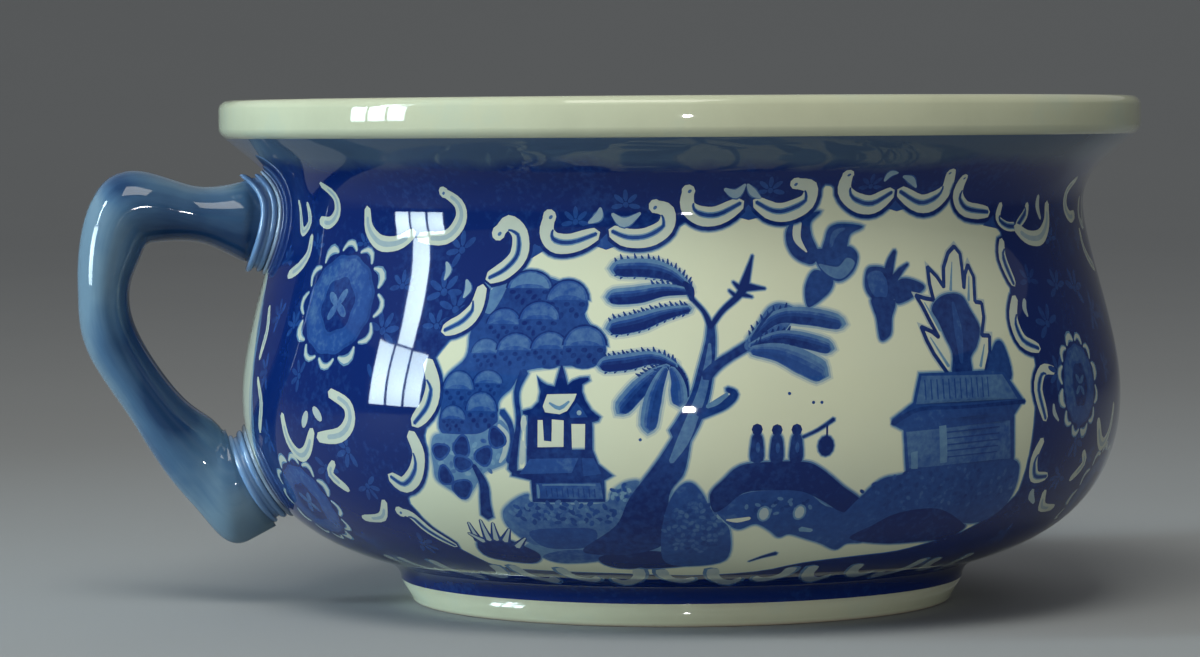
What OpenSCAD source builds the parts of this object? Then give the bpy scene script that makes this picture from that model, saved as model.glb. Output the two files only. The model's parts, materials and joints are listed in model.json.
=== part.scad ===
// Chamber pot: a thrown bowl on a luted foot ring, with a rolled rim and a loop handle
// Millimetres, +Z up. The pot's axis is Z, the table is z = 0 and the handle points along -X.

/* [Bowl] */
// How far the belly swells out past the neck
belly_swell = 9.5; // [4:0.1:16]
// Height of the widest part of the belly
belly_height = 53; // [46:0.5:60]
// How far the rim stands out past the narrowest part of the neck
neck_inset = 14.7; // [12:0.1:18]
// Drop of the narrowest part of the neck below the top of the pot
neck_drop = 27; // [25:0.5:32]
// Diameter of the underside, where the bowl sits on the foot ring
base_diameter = 144; // [130:0.5:150]
// Diameter where the cove above the foot ring runs into the belly
cove_diameter = 156; // [152:0.5:164]
// Rise of the cove above the foot ring
cove_rise = 5.6; // [3:0.2:8]
// Slope of the underside of the belly above the cove, in degrees
base_slope = 16; // [8:1:26]
// How far the belly's underside keeps to that slope
base_run_length = 20; // [10:0.5:28]
// How far the lower belly keeps upright below its widest part
belly_lower_length = 24; // [14:0.5:28]
// How far the upper belly keeps upright above its widest part
belly_upper_length = 16; // [8:0.5:24]
// How far the wall keeps upright below the neck
neck_lower_length = 10; // [4:0.5:18]
// How far the wall keeps upright above the neck
neck_upper_length = 9; // [4:0.5:11]
// Thickness of the wall at belly and neck
wall_thickness = 6; // [4.5:0.1:8]
// Thickness of the floor
floor_thickness = 8; // [6:0.1:11]
// Diameter of the flat part of the floor, inside
floor_diameter = 96; // [60:1:120]
// How far the inside keeps flat past the floor before it turns up
floor_run_length = 34; // [24:0.5:40]

/* [Rim] */
// Diameter over the rolled rim
rim_diameter = 235; // [226:0.5:246]
// Overall height of the pot
overall_height = 128; // [126:0.5:134]
// Height of the rolled rim, from its joint to its top
rim_height = 9.6; // [8:0.1:11]
// Width of the rolled rim, from inside to outside
rim_width = 11; // [10:0.1:13]
// Radius of the rim's rounded edges
rim_edge_radius = 2.6; // [1:0.1:3.5]
// How far the roll overhangs the flared wall below it
rim_overhang = 1.7; // [0.5:0.1:2.5]
// Slope of the flared wall under the rim, in degrees
flare_slope = 44; // [36:1:56]
// How far the flared wall keeps to that slope
flare_run_length = 8; // [3:0.5:9]

/* [Foot ring] */
// Height of the foot ring
foot_height = 6; // [4.5:0.1:8]
// Diameter of the foot ring on the table, over its rounded edge
foot_diameter = 139; // [128:0.5:143]
// Width of the foot ring on the table
foot_width = 9; // [8:0.1:12]
// Radius of the foot ring's rounded lower edges
foot_edge_radius = 1.5; // [0.4:0.1:2.5]

/* [Luted joints] */
// Width of the key that seats the rim and the foot ring
key_width = 3; // [2:0.1:4]
// Height of that key
key_height = 1.5; // [0.8:0.1:2]
// Room for slip round the key
key_clearance = 0.2; // [0.1:0.05:0.4]
// Thickness of the slip bed under a handle collar
luting_thickness = 0.8; // [0.6:0.05:1.2]
// How far the slip bed stands out round a handle collar
luting_margin = 0.8; // [0.4:0.1:1.5]

/* [Handle joints] */
// Drop of the upper joint's centre below the narrowest part of the neck
upper_joint_drop = 4; // [2:0.5:7]
// Height of the lower joint's centre on the belly
lower_joint_height = 33; // [31:0.5:37]
// Diameter of the double ring collars
collar_diameter = 25; // [22:0.2:26]
// Thickness of each bead of a collar
collar_bead = 1.7; // [1.2:0.1:2.2]
// Width of the groove between the two beads
collar_groove = 0.8; // [0.5:0.1:1.4]
// Depth of that groove
collar_groove_depth = 1; // [0.5:0.1:1.6]
// How far a collar stands out round the end of the handle
collar_step = 1.2; // [0.8:0.1:2.5]

/* [Handle] */
// How far the back of the grip stands out from the neck
handle_reach = 50.6; // [48:0.2:58]
// Width of the handle, across the loop
handle_width = 20; // [16:0.2:22]
// Distance from the neck to the thinnest part of the upper arm
arm_run = 19; // [17:0.5:21]
// Rise of the upper arm there, above the upper joint
arm_rise = 2.2; // [0:0.2:4]
// Thickness of the upper arm
arm_thickness = 14.3; // [12:0.1:16]
// Distance of the knuckle's centre in from the back of the grip
knuckle_inset = 16.8; // [16:0.2:19]
// Rise of the knuckle's centre above the upper joint
knuckle_rise = 4.4; // [2:0.2:6]
// Thickness of the knuckle
knuckle_thickness = 19.4; // [16:0.2:20]
// Lean of the knuckle's section, in degrees from upright
knuckle_lean = 21; // [15:1:26]
// Distance of the corner's centre in from the back of the grip
corner_inset = 10.2; // [9:0.1:12]
// Drop of the corner's centre below the upper joint
corner_drop = 0.4; // [0:0.1:3]
// Thickness of the corner
corner_thickness = 18; // [15:0.2:18.4]
// Lean of the corner's section, in degrees from upright
corner_lean = 47; // [42:1:52]
// Drop of the grip's middle below the upper joint
grip_drop = 16; // [13:0.5:19]
// Thickness of the grip
grip_thickness = 13.3; // [11:0.1:15]
// Lean of the grip's section, in degrees from upright
grip_lean = 92; // [86:1:96]
// Distance of the bend's centre in from the back of the grip
bend_inset = 8.8; // [8:0.1:11]
// Drop of the bend below the grip's middle
bend_drop = 14; // [11:0.5:16]
// Thickness of the bend
bend_thickness = 13.8; // [12:0.1:15]
// Lean of the bend's section, in degrees from upright
bend_lean = 107; // [102:1:112]
// Distance of the slanting stay's centre out from the lower joint
stay_run = 25.2; // [23:0.2:28]
// Rise of the slanting stay's centre above the lower joint
stay_rise = 16; // [13:0.2:18]
// Thickness of the slanting stay
stay_thickness = 14.2; // [12:0.1:16]
// Lean of the slanting stay's section, in degrees from upright
stay_lean = 124; // [118:1:130]
// Distance of the heel's shoulder out from the lower joint
shoulder_run = 14.4; // [13:0.2:17]
// Rise of the heel's shoulder above the lower joint
shoulder_rise = 3.2; // [1:0.2:5]
// Thickness of the heel's shoulder
shoulder_thickness = 21.8; // [19:0.2:24]
// Lean of the heel's shoulder, in degrees from upright
shoulder_lean = 164; // [158:1:168]
// Distance of the heel's centre out from the lower joint
heel_run = 8; // [7:0.2:10]
// Drop of the heel's centre below the lower joint
heel_drop = 2.8; // [1:0.2:4]
// Length of the heel along the belly
heel_thickness = 29.6; // [26:0.2:32]
// Lean of the heel, in degrees from upright
heel_lean = 187; // [182:1:192]

/* [Hidden] */

$fn = 96;
curve_steps = 14;
corner_steps = 6;
section_steps = 5;
section_sides = 24;

cream = "ivory";
printed_blue = "royalblue";
handle_blue = "steelblue";
slip_grey = "lightsteelblue";

base_r = base_diameter / 2;
cove_r = cove_diameter / 2;
rim_r = rim_diameter / 2;
neck_r = rim_r - neck_inset;
belly_r = neck_r + belly_swell;
neck_height = overall_height - neck_drop;
upper_joint_height = neck_height - upper_joint_drop;
foot_r = foot_diameter / 2;
collar_r = collar_diameter / 2;
rim_joint_z = overall_height - rim_height;
rim_inner_r = rim_r - rim_width;
rim_joint_r = rim_r - rim_overhang;
floor_z = foot_height + floor_thickness;
collar_depth = 2 * collar_bead + collar_groove;
back_r = neck_r + handle_reach;

// A point on a cubic curve, and the curve as a list of points without its first one
function cubic(p, t) =
    pow(1 - t, 3) * p[0] + 3 * t * pow(1 - t, 2) * p[1]
    + 3 * t * t * (1 - t) * p[2] + pow(t, 3) * p[3];
function curve(p) = [for (i = [1:curve_steps]) cubic(p, i / curve_steps)];

// A quarter or other round corner about a centre, from one angle to another
function round_corner(centre, radius, from, to) =
    [for (i = [0:corner_steps])
        let (a = from + (to - from) * i / corner_steps)
        centre + radius * [cos(a), sin(a)]];

// The outside of the bowl, from the foot ring's joint up to the rim's joint
cove_top = [cove_r, foot_height + cove_rise];
base_way = [cos(base_slope), sin(base_slope)];
flare_way = [cos(flare_slope), sin(flare_slope)];
rim_joint = [rim_joint_r, rim_joint_z];
outer_cove = curve([[base_r, foot_height], [base_r, foot_height + cove_rise / 2],
                    cove_top - base_way * (cove_r - base_r) / 2, cove_top]);
outer_lower = curve([cove_top, cove_top + base_run_length * base_way,
                     [belly_r, belly_height - belly_lower_length], [belly_r, belly_height]]);
outer_upper = curve([[belly_r, belly_height], [belly_r, belly_height + belly_upper_length],
                     [neck_r, neck_height - neck_lower_length], [neck_r, neck_height]]);
outer_flare = curve([[neck_r, neck_height], [neck_r, neck_height + neck_upper_length],
                     rim_joint - flare_run_length * flare_way, rim_joint]);
outer_wall = concat([[base_r, foot_height]], outer_cove, outer_lower, outer_upper, outer_flare);

// The inside of the bowl, from the rim's joint down to the floor
inner_belly_r = belly_r - wall_thickness;
inner_neck_r = neck_r - wall_thickness;
inner_flare = curve([[rim_inner_r, rim_joint_z], [rim_inner_r, rim_joint_z - wall_thickness],
                     [inner_neck_r, neck_height + neck_upper_length], [inner_neck_r, neck_height]]);
inner_upper = curve([[inner_neck_r, neck_height], [inner_neck_r, neck_height - neck_lower_length],
                     [inner_belly_r, belly_height + belly_upper_length], [inner_belly_r, belly_height]]);
inner_lower = curve([[inner_belly_r, belly_height], [inner_belly_r, belly_height - belly_lower_length],
                     [floor_diameter / 2 + floor_run_length, floor_z], [floor_diameter / 2, floor_z]]);
inner_wall = concat([[rim_inner_r, rim_joint_z]], inner_flare, inner_upper, inner_lower, [[0, floor_z]]);

// A wall's outline moved out along its normals
function way(p, i) =
    let (d = p[min(i + 1, len(p) - 1)] - p[max(i - 1, 0)]) d / norm(d);
function moved_out(p, gap) =
    [for (i = [0:len(p) - 1]) let (w = way(p, i)) p[i] + gap * [w[1], -w[0]]];

// Where the outside wall is at a height, and how far it faces down there
function station(z) = max([for (i = [0:len(outer_wall) - 2]) outer_wall[i][1] <= z ? i : 0]);
function wall_at(z) =
    let (i = station(z), a = outer_wall[i], b = outer_wall[i + 1])
    a + (b - a) * (z - a[1]) / (b[1] - a[1]);
function wall_lean(z) =
    let (i = station(z), d = outer_wall[i + 1] - outer_wall[i])
    atan2(d[0], d[1]);

upper_joint = wall_at(upper_joint_height);
lower_joint = wall_at(lower_joint_height);
lower_lean = wall_lean(lower_joint_height);

// Cross sections of the handle: distance from the axis, height, lean of the section, thickness and width
handle_end = collar_diameter - 2 * collar_step;
handle_sections = [
    [upper_joint[0], upper_joint[1], 0, handle_end, handle_end],
    [upper_joint[0] + collar_depth + luting_thickness, upper_joint[1], 0, handle_end, handle_end],
    [upper_joint[0] + arm_run, upper_joint[1] + arm_rise, 0, arm_thickness, handle_width],
    [back_r - knuckle_inset, upper_joint[1] + knuckle_rise, knuckle_lean, knuckle_thickness, handle_width],
    [back_r - corner_inset, upper_joint[1] - corner_drop, corner_lean, corner_thickness, handle_width],
    [back_r - grip_thickness / 2, upper_joint[1] - grip_drop, grip_lean, grip_thickness, handle_width],
    [back_r - bend_inset, upper_joint[1] - grip_drop - bend_drop, bend_lean, bend_thickness,
     handle_width],
    [lower_joint[0] + stay_run, lower_joint[1] + stay_rise, stay_lean, stay_thickness, handle_width],
    [lower_joint[0] + shoulder_run, lower_joint[1] + shoulder_rise,
     shoulder_lean, shoulder_thickness, handle_width],
    [lower_joint[0] + heel_run, lower_joint[1] - heel_drop, heel_lean, heel_thickness, handle_end],
    [lower_joint[0], lower_joint[1], 180 + lower_lean, handle_end, handle_end]];

// A smooth run of sections through the ones above
function smooth(a, b, c, d, t) =
    0.5 * (2 * b + (c - a) * t + (2 * a - 5 * b + 4 * c - d) * t * t
           + (3 * b - a - 3 * c + d) * pow(t, 3));
section_count = len(handle_sections);
handle_run = [
    for (i = [0:section_count - 2], k = [0:section_steps - 1])
        smooth(handle_sections[max(i - 1, 0)], handle_sections[i], handle_sections[i + 1],
               handle_sections[min(i + 2, section_count - 1)], k / section_steps),
    handle_sections[section_count - 1]];

// One oval section as a ring of points
function oval(s) =
    [for (k = [0:section_sides - 1])
        let (a = 360 * k / section_sides, across = s[3] / 2 * cos(a))
        [-s[0] - across * sin(s[2]), s[4] / 2 * sin(a), s[1] + across * cos(s[2])]];

// A closed solid through the rings of points
module lofted(rings) {
    n = len(rings[0]);
    last = (len(rings) - 1) * n;
    sides = [for (i = [0:len(rings) - 2], k = [0:n - 1], half = [0, 1])
        let (a = i * n + k, b = i * n + (k + 1) % n)
        half == 0 ? [a, b, b + n] : [a, b + n, a + n]];
    first_cap = [[for (k = [0:n - 1]) n - 1 - k]];
    last_cap = [[for (k = [0:n - 1]) last + k]];
    polyhedron(points = [for (r = rings) each r], faces = concat(first_cap, sides, last_cap));
}

// The solid inside the outer wall, grown by a gap
module filled_wall(gap) {
    grown = moved_out(outer_wall, gap);
    rotate_extrude()
        polygon(concat([[0, grown[0][1]]], grown, [[0, grown[len(grown) - 1][1]]]));
}

// A round plug along a joint's axis, from inside the wall to clear of it
module joint_plug(joint, lean, radius) {
    translate([-joint[0], 0, joint[1]])
        rotate([0, -90 - lean, 0])
            translate([0, 0, -collar_diameter / 2])
                cylinder(r = radius, h = collar_diameter);
}

// A layer round a joint that follows the wall, between two gaps from it
module fitted_layer(joint, lean, radius, low, high) {
    difference() {
        intersection() {
            joint_plug(joint, lean, radius);
            filled_wall(high);
        }
        filled_wall(low);
    }
}

// The double ring collar of a joint, one layer with a groove cut round it
module collar(joint, lean) {
    groove_low = luting_thickness + collar_bead;
    difference() {
        fitted_layer(joint, lean, collar_r, luting_thickness, luting_thickness + collar_depth);
        difference() {
            fitted_layer(joint, lean, collar_r + collar_groove_depth,
                         groove_low, groove_low + collar_groove);
            joint_plug(joint, lean, collar_r - collar_groove_depth);
        }
    }
}

// A square ring through a luted seam: the key, or its groove when grown by the clearance
module key_ring(middle_r, seam_z, grow) {
    half = key_width / 2 + grow;
    rotate_extrude()
        translate([middle_r - half, seam_z - key_height])
            square([2 * half, 2 * key_height + grow]);
}
rim_key_r = (rim_inner_r + rim_joint_r) / 2;
foot_key_r = foot_r - foot_width / 2;

module bowl() {
    color(printed_blue) {
        difference() {
            rotate_extrude()
                polygon(concat([[0, foot_height]], outer_wall, inner_wall));
            key_ring(foot_key_r, foot_height, key_clearance);
        }
        key_ring(rim_key_r, rim_joint_z, 0);
    }
}

module rim_roll() {
    top_z = overall_height - rim_edge_radius;
    outer_edge = round_corner([rim_r - rim_edge_radius, top_z], rim_edge_radius, 0, 90);
    inner_edge = round_corner([rim_inner_r + rim_edge_radius, top_z], rim_edge_radius, 90, 180);
    under_radius = min(rim_edge_radius, rim_overhang / (1 - sin(flare_slope)));
    under_rise = (rim_overhang - under_radius * (1 - sin(flare_slope))) * tan(flare_slope)
                 + under_radius * cos(flare_slope);
    underside = round_corner([rim_r - under_radius, rim_joint_z + under_rise], under_radius,
                             flare_slope - 90, 0);
    color(cream)
        difference() {
            rotate_extrude()
                polygon(concat([[rim_inner_r, rim_joint_z], [rim_joint_r, rim_joint_z]],
                               underside, outer_edge, inner_edge));
            key_ring(rim_key_r, rim_joint_z, key_clearance);
        }
}

module foot_ring() {
    inner_r = foot_r - foot_width;
    outer_edge = round_corner([foot_r - foot_edge_radius, foot_edge_radius], foot_edge_radius, -90, 0);
    inner_edge = round_corner([inner_r + foot_edge_radius, foot_edge_radius], foot_edge_radius, 180, 270);
    color(cream) {
        rotate_extrude()
            polygon(concat(outer_edge, [[base_r, foot_height], [inner_r, foot_height]], inner_edge));
        key_ring(foot_key_r, foot_height, 0);
    }
}

module handle() {
    color(handle_blue)
        difference() {
            lofted([for (s = handle_run) oval(s)]);
            filled_wall(luting_thickness + collar_depth);
        }
}

module upper_collar() {
    color(handle_blue)
        collar(upper_joint, 0);
}

module lower_collar() {
    color(handle_blue)
        collar(lower_joint, lower_lean);
}

module upper_luting() {
    color(slip_grey)
        fitted_layer(upper_joint, 0, collar_r + luting_margin, 0, luting_thickness);
}

module lower_luting() {
    color(slip_grey)
        fitted_layer(lower_joint, lower_lean, collar_r + luting_margin, 0, luting_thickness);
}

bowl();
rim_roll();
foot_ring();
handle();
upper_collar();
lower_collar();
upper_luting();
lower_luting();
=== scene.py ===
"""Printed and glazed finish of the chamber pot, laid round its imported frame."""

import json
import math
from collections import namedtuple

import bpy
import numpy as np
from bpy.props import FloatProperty, FloatVectorProperty, IntProperty, PointerProperty
from mathutils import Euler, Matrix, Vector
from mathutils.geometry import delaunay_2d_cdt

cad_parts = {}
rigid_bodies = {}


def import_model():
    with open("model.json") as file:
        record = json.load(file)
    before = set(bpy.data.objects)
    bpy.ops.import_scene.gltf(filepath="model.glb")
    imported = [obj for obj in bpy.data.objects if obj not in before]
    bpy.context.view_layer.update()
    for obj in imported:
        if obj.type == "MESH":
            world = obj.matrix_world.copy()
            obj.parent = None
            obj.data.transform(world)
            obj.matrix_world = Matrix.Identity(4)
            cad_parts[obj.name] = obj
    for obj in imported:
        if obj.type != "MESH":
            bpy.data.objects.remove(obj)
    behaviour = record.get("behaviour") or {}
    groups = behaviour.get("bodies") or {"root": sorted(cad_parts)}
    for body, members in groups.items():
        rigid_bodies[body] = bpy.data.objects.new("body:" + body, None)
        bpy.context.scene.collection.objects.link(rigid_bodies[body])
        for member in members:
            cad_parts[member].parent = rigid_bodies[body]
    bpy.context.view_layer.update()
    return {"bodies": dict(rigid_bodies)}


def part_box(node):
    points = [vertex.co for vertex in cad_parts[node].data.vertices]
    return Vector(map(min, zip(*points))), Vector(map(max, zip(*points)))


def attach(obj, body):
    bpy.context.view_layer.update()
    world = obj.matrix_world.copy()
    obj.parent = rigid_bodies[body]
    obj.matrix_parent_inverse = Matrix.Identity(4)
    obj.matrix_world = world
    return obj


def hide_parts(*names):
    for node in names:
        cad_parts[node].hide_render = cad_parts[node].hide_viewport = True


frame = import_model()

bl_info = {
    "name": "Chamber Pot",
    "version": (1, 0, 0),
    "blender": (4, 5, 0),
    "location": "View3D > Sidebar > Chamber Pot",
    "description": "Builds a blue printed chamber pot, glazed and lit, round its frame",
    "category": "Object",
}

# Sizes that the frame gives, in metres
BODY = next(iter(frame["bodies"]))
BOWL_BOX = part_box("bowl")
RIM_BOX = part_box("rim_roll")
FOOT_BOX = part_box("foot_ring")

# The print is drawn on the unrolled wall in millimetres: s runs round the pot from its front, v runs up
# the wall from the widest part of the belly, and the sheet's two ends meet behind the handle
MM = 0.001
PRINT_RADIUS = 110.0
GIRTH = 2 * math.pi * PRINT_RADIUS
BACK = GIRTH / 2
SEAM = -GIRTH / 4

# Columns of the sheet round the pot, and the gaps under which points of the print, and points of the
# sheet's edges, count as one
AROUND = 176
SAME_POINT = 0.004
SAME_EDGE = 0.01

# The bowl's map: strips of the outer wall in two rows, then bands for the inside and the underside
BAKE_STRIPS = 4
STRIP_ROWS = 2
WALL_MAP_TOP = 0.83
MAP_BORDER = 0.004
INSIDE_MAP = (0.835, 0.93)
FLOOR_MAP = (0.93, 0.94)
BASE_MAP = (0.96, 0.95)
UNDERSIDE_MAP = (0.96, 0.99)

# Strength of the blue, from the bare glaze to the full cobalt of the ground
BARE, PALE, LIGHT, MID, DARK = 0.0, 0.2, 0.42, 0.7, 1.0

# Soft edges of the ink: shares of the reach and of the ink for the bleed round a shape, and shares of the
# reach with the ink left for the thinned ground round a bare shape
BLEED_STEPS = ((1.0, 0.22), (0.5, 0.55))
THINNED_STEPS = ((1.0, 0.8), (0.5, 0.45))

# Brush lines: their finest width in millimetres, and how far their ends round out as a share of the width
FINEST_LINE = 0.08
ROUND_END = 0.35

# Stipple: the angle from each dab to the next round the middle, in radians, and each dab's own turn from
# the one before it, in degrees
DAB_STEP = 2.4
DAB_TURN = 37

# Height that the lamps face, in metres
LAMP_AIM = 0.06


def length(name, description, default):
    """A size that the user may change, in metres."""
    return FloatProperty(name=name, description=description, default=default, min=0.0, precision=4,
                         unit="LENGTH")


def angle(name, description, degrees):
    """An angle that the user may change."""
    return FloatProperty(name=name, description=description, default=math.radians(degrees), unit="ROTATION")


def lamp_power(name, description, watts):
    """The power of a lamp that the user may change."""
    return FloatProperty(name=name, description=description, default=watts, min=0.0, unit="POWER")


def colour(name, description, default):
    """A colour that the user may change."""
    return FloatVectorProperty(name=name, description=description, default=default, size=3,
                               min=0.0, max=1.0, subtype="COLOR")


class PotSizes(bpy.types.PropertyGroup):
    """Sizes of the thrown bowl, its rim and its foot ring."""

    rim_diameter: length("Rim diameter", "Diameter over the rolled rim", RIM_BOX[1][0] - RIM_BOX[0][0])
    overall_height: length("Overall height", "Height of the pot", RIM_BOX[1][2])
    rim_height: length("Rim height", "Height of the rolled rim above its joint",
                       RIM_BOX[1][2] - RIM_BOX[0][2])
    rim_width: length("Rim width", "Width of the rolled rim", 0.011)
    rim_edge_radius: length("Rim edge radius", "Radius of the rim's rounded edges", 0.0026)
    rim_overhang: length("Rim overhang", "How far the roll overhangs the flared wall", 0.0017)
    flare_slope: angle("Flare slope", "Slope of the flared wall under the rim", 44)
    flare_run: length("Flare run", "How far the flared wall keeps to that slope", 0.008)
    neck_inset: length("Neck inset", "How far the rim stands out past the neck", 0.0147)
    neck_drop: length("Neck drop", "Drop of the neck below the top of the pot", 0.027)
    neck_upper: length("Neck upper run", "How far the wall keeps upright above the neck", 0.009)
    neck_lower: length("Neck lower run", "How far the wall keeps upright below the neck", 0.010)
    belly_swell: length("Belly swell", "How far the belly swells out past the neck", 0.0095)
    belly_height: length("Belly height", "Height of the widest part of the belly", 0.053)
    belly_upper: length("Belly upper run", "How far the belly keeps upright above its widest part", 0.016)
    belly_lower: length("Belly lower run", "How far the belly keeps upright below its widest part", 0.024)
    base_diameter: length("Base diameter", "Diameter of the underside at the foot ring", 2 * FOOT_BOX[1][0])
    base_slope: angle("Base slope", "Slope of the belly's underside above the cove", 16)
    base_run: length("Base run", "How far the underside keeps to that slope", 0.020)
    cove_diameter: length("Cove diameter", "Diameter where the cove runs into the belly", 0.156)
    cove_rise: length("Cove rise", "Rise of the cove above the foot ring", 0.0056)
    wall_thickness: length("Wall thickness", "Thickness of the wall", 0.006)
    floor_thickness: length("Floor thickness", "Thickness of the floor", 0.008)
    floor_diameter: length("Floor diameter", "Diameter of the flat part of the floor", 0.096)
    floor_run: length("Floor run", "How far the inside keeps flat past the floor", 0.034)
    foot_height: length("Foot height", "Height of the bowl's underside on the foot ring", BOWL_BOX[0][2])
    foot_diameter: length("Foot diameter", "Diameter of the foot ring on the table", 0.139)
    foot_width: length("Foot width", "Width of the foot ring on the table", 0.009)
    foot_edge_radius: length("Foot edge radius", "Radius of the foot ring's lower edges", 0.0015)
    turning_steps: IntProperty(name="Turning steps", description="Faces round a turned ring", default=192,
                               min=24)


class HandleSizes(bpy.types.PropertyGroup):
    """Sizes of the loop handle and of the joints that hold it."""

    upper_joint_drop: length("Upper joint drop", "Drop of the upper joint below the neck", 0.004)
    lower_joint_height: length("Lower joint height", "Height of the lower joint on the belly", 0.033)
    reach: length("Reach", "How far the grip stands out from the neck", 0.0506)
    width: length("Width", "Width of the handle across the loop", 0.020)
    grip_drop: length("Grip drop", "Drop of the grip's middle below the upper joint", 0.016)
    grip_thickness: length("Grip thickness", "Thickness of the grip", 0.0133)
    collar_diameter: length("Collar diameter", "Diameter of the double ring collars", 0.025)
    collar_bead: length("Collar bead", "Thickness of each bead of a collar", 0.0017)
    collar_groove: length("Collar groove", "Width of the groove between the beads", 0.0008)
    collar_groove_depth: length("Collar groove depth", "Depth of that groove", 0.001)
    collar_step: length("Collar step", "How far a collar stands out round the handle", 0.0012)
    luting_thickness: length("Luting thickness", "Thickness of the slip bed under a collar", 0.0008)
    luting_margin: length("Luting margin", "How far the slip bed stands out round a collar", 0.0008)


class GlazeColours(bpy.types.PropertyGroup):
    """Colours of the glazes and of the blue print under them."""

    bare: colour("Bare glaze", "Warm white glaze of the ware", (0.50, 0.525, 0.375))
    pale: colour("Pale blue", "Thinnest wash of the print", (0.29, 0.35, 0.34))
    light: colour("Light blue", "Light parts of the print", (0.10, 0.20, 0.30))
    mid: colour("Middle blue", "Middle tone of the print", (0.013, 0.052, 0.195))
    dark: colour("Dark cobalt", "Full strength of the print", (0.002, 0.013, 0.095))
    # These three handle tones also carry painted light on the loop's outer side and painted shade on its
    # inner side
    handle_light: colour("Handle thin glaze", "Blue glaze where it runs thin", (0.125, 0.205, 0.275))
    handle_mid: colour("Handle glaze", "Blue glaze of the handle", (0.052, 0.115, 0.205))
    handle_dark: colour("Handle pooled glaze", "Blue glaze where it pools", (0.012, 0.040, 0.105))
    # The grey-blue band under the rim is partly a thin wash and partly a painted reflection of the rim
    neck_wash_and_reflection: colour("Neck wash", "Thin greyish wash above the print", (0.055, 0.092, 0.135))
    slip: colour("Slip", "Slip squeezed out of the handle's joints", (0.20, 0.27, 0.36))
    biscuit: colour("Biscuit", "Bare clay under the foot ring", (0.52, 0.46, 0.36))


class StageSettings(bpy.types.PropertyGroup):
    """Camera, lights and floor."""

    camera_distance: length("Camera distance", "Distance of the camera from the pot's axis", 1.1)
    camera_height: length("Camera height", "Height of the camera above the table", 0.121)
    camera_turn: angle("Camera turn", "How far round the pot the camera stands", -7)
    camera_yaw: angle("Camera yaw", "How far the camera looks past the pot's axis", 1.07)
    camera_pitch: angle("Camera pitch", "How far the camera looks down", 2.70)
    camera_roll: angle("Camera roll", "Roll of the camera", -0.35)
    camera_lens: FloatProperty(name="Camera lens", description="Focal length in millimetres",
                               default=128.7, min=1.0, unit="CAMERA")
    window_turn: angle("Window turn", "How far round the pot the window's panes stand", -82)
    window_distance: length("Window distance", "Distance of the panes from the pot's axis", 1.3)
    window_power: lamp_power("Window power", "Light from the panes at the side", 1.4)
    front_power: lamp_power("Front power", "Light from the small panel by the camera", 0.05)
    fill_power: lamp_power("Fill power", "Light from the broad panel above", 18.2)
    window_colour: colour("Window colour", "Colour of the window light", (0.72, 0.91, 1.0))
    fill_colour: colour("Fill colour", "Colour of the light from above", (1.0, 0.985, 0.90))
    sky_strength: FloatProperty(name="Sky strength", description="Light from all round", default=0.30,
                                min=0.0, subtype="FACTOR")
    floor_colour: colour("Floor colour", "Plain floor", (0.30, 0.315, 0.325))


# Curves

def bezier(points, steps):
    """A cubic curve through four control points, without its first point."""
    a, b, c, d = (np.asarray(p, float) for p in points)
    t = np.linspace(0, 1, steps + 1)[1:, None]
    return (1 - t) ** 3 * a + 3 * t * (1 - t) ** 2 * b + 3 * t * t * (1 - t) * c + t ** 3 * d


def smooth(points, steps=5, closed=False):
    """A smooth run of points through the given ones."""
    knots = np.asarray(points, float)
    count = len(knots)
    t = (np.arange(steps) / steps)[:, None]
    out = []
    for i in range(count if closed else count - 1):
        if closed:
            a, b, c, d = (knots[(i + k) % count] for k in (-1, 0, 1, 2))
        else:
            a, b, c, d = knots[max(i - 1, 0)], knots[i], knots[i + 1], knots[min(i + 2, count - 1)]
        out.append(0.5 * (2 * b + (c - a) * t + (2 * a - 5 * b + 4 * c - d) * t ** 2
                          + (3 * b - a - 3 * c + d) * t ** 3))
    if not closed:
        out.append(knots[-1:])
    return np.vstack(out)


def arc(centre, radius, start, end, steps=8):
    """A round corner, with its angles in degrees."""
    a = np.radians(np.linspace(start, end, steps + 1))
    return np.column_stack((centre[0] + radius * np.cos(a), centre[1] + radius * np.sin(a)))


def directions(run):
    """Unit directions along a run of points."""
    way = np.gradient(run, axis=0)
    return way / np.maximum(np.linalg.norm(way, axis=1), 1e-9)[:, None]


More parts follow.
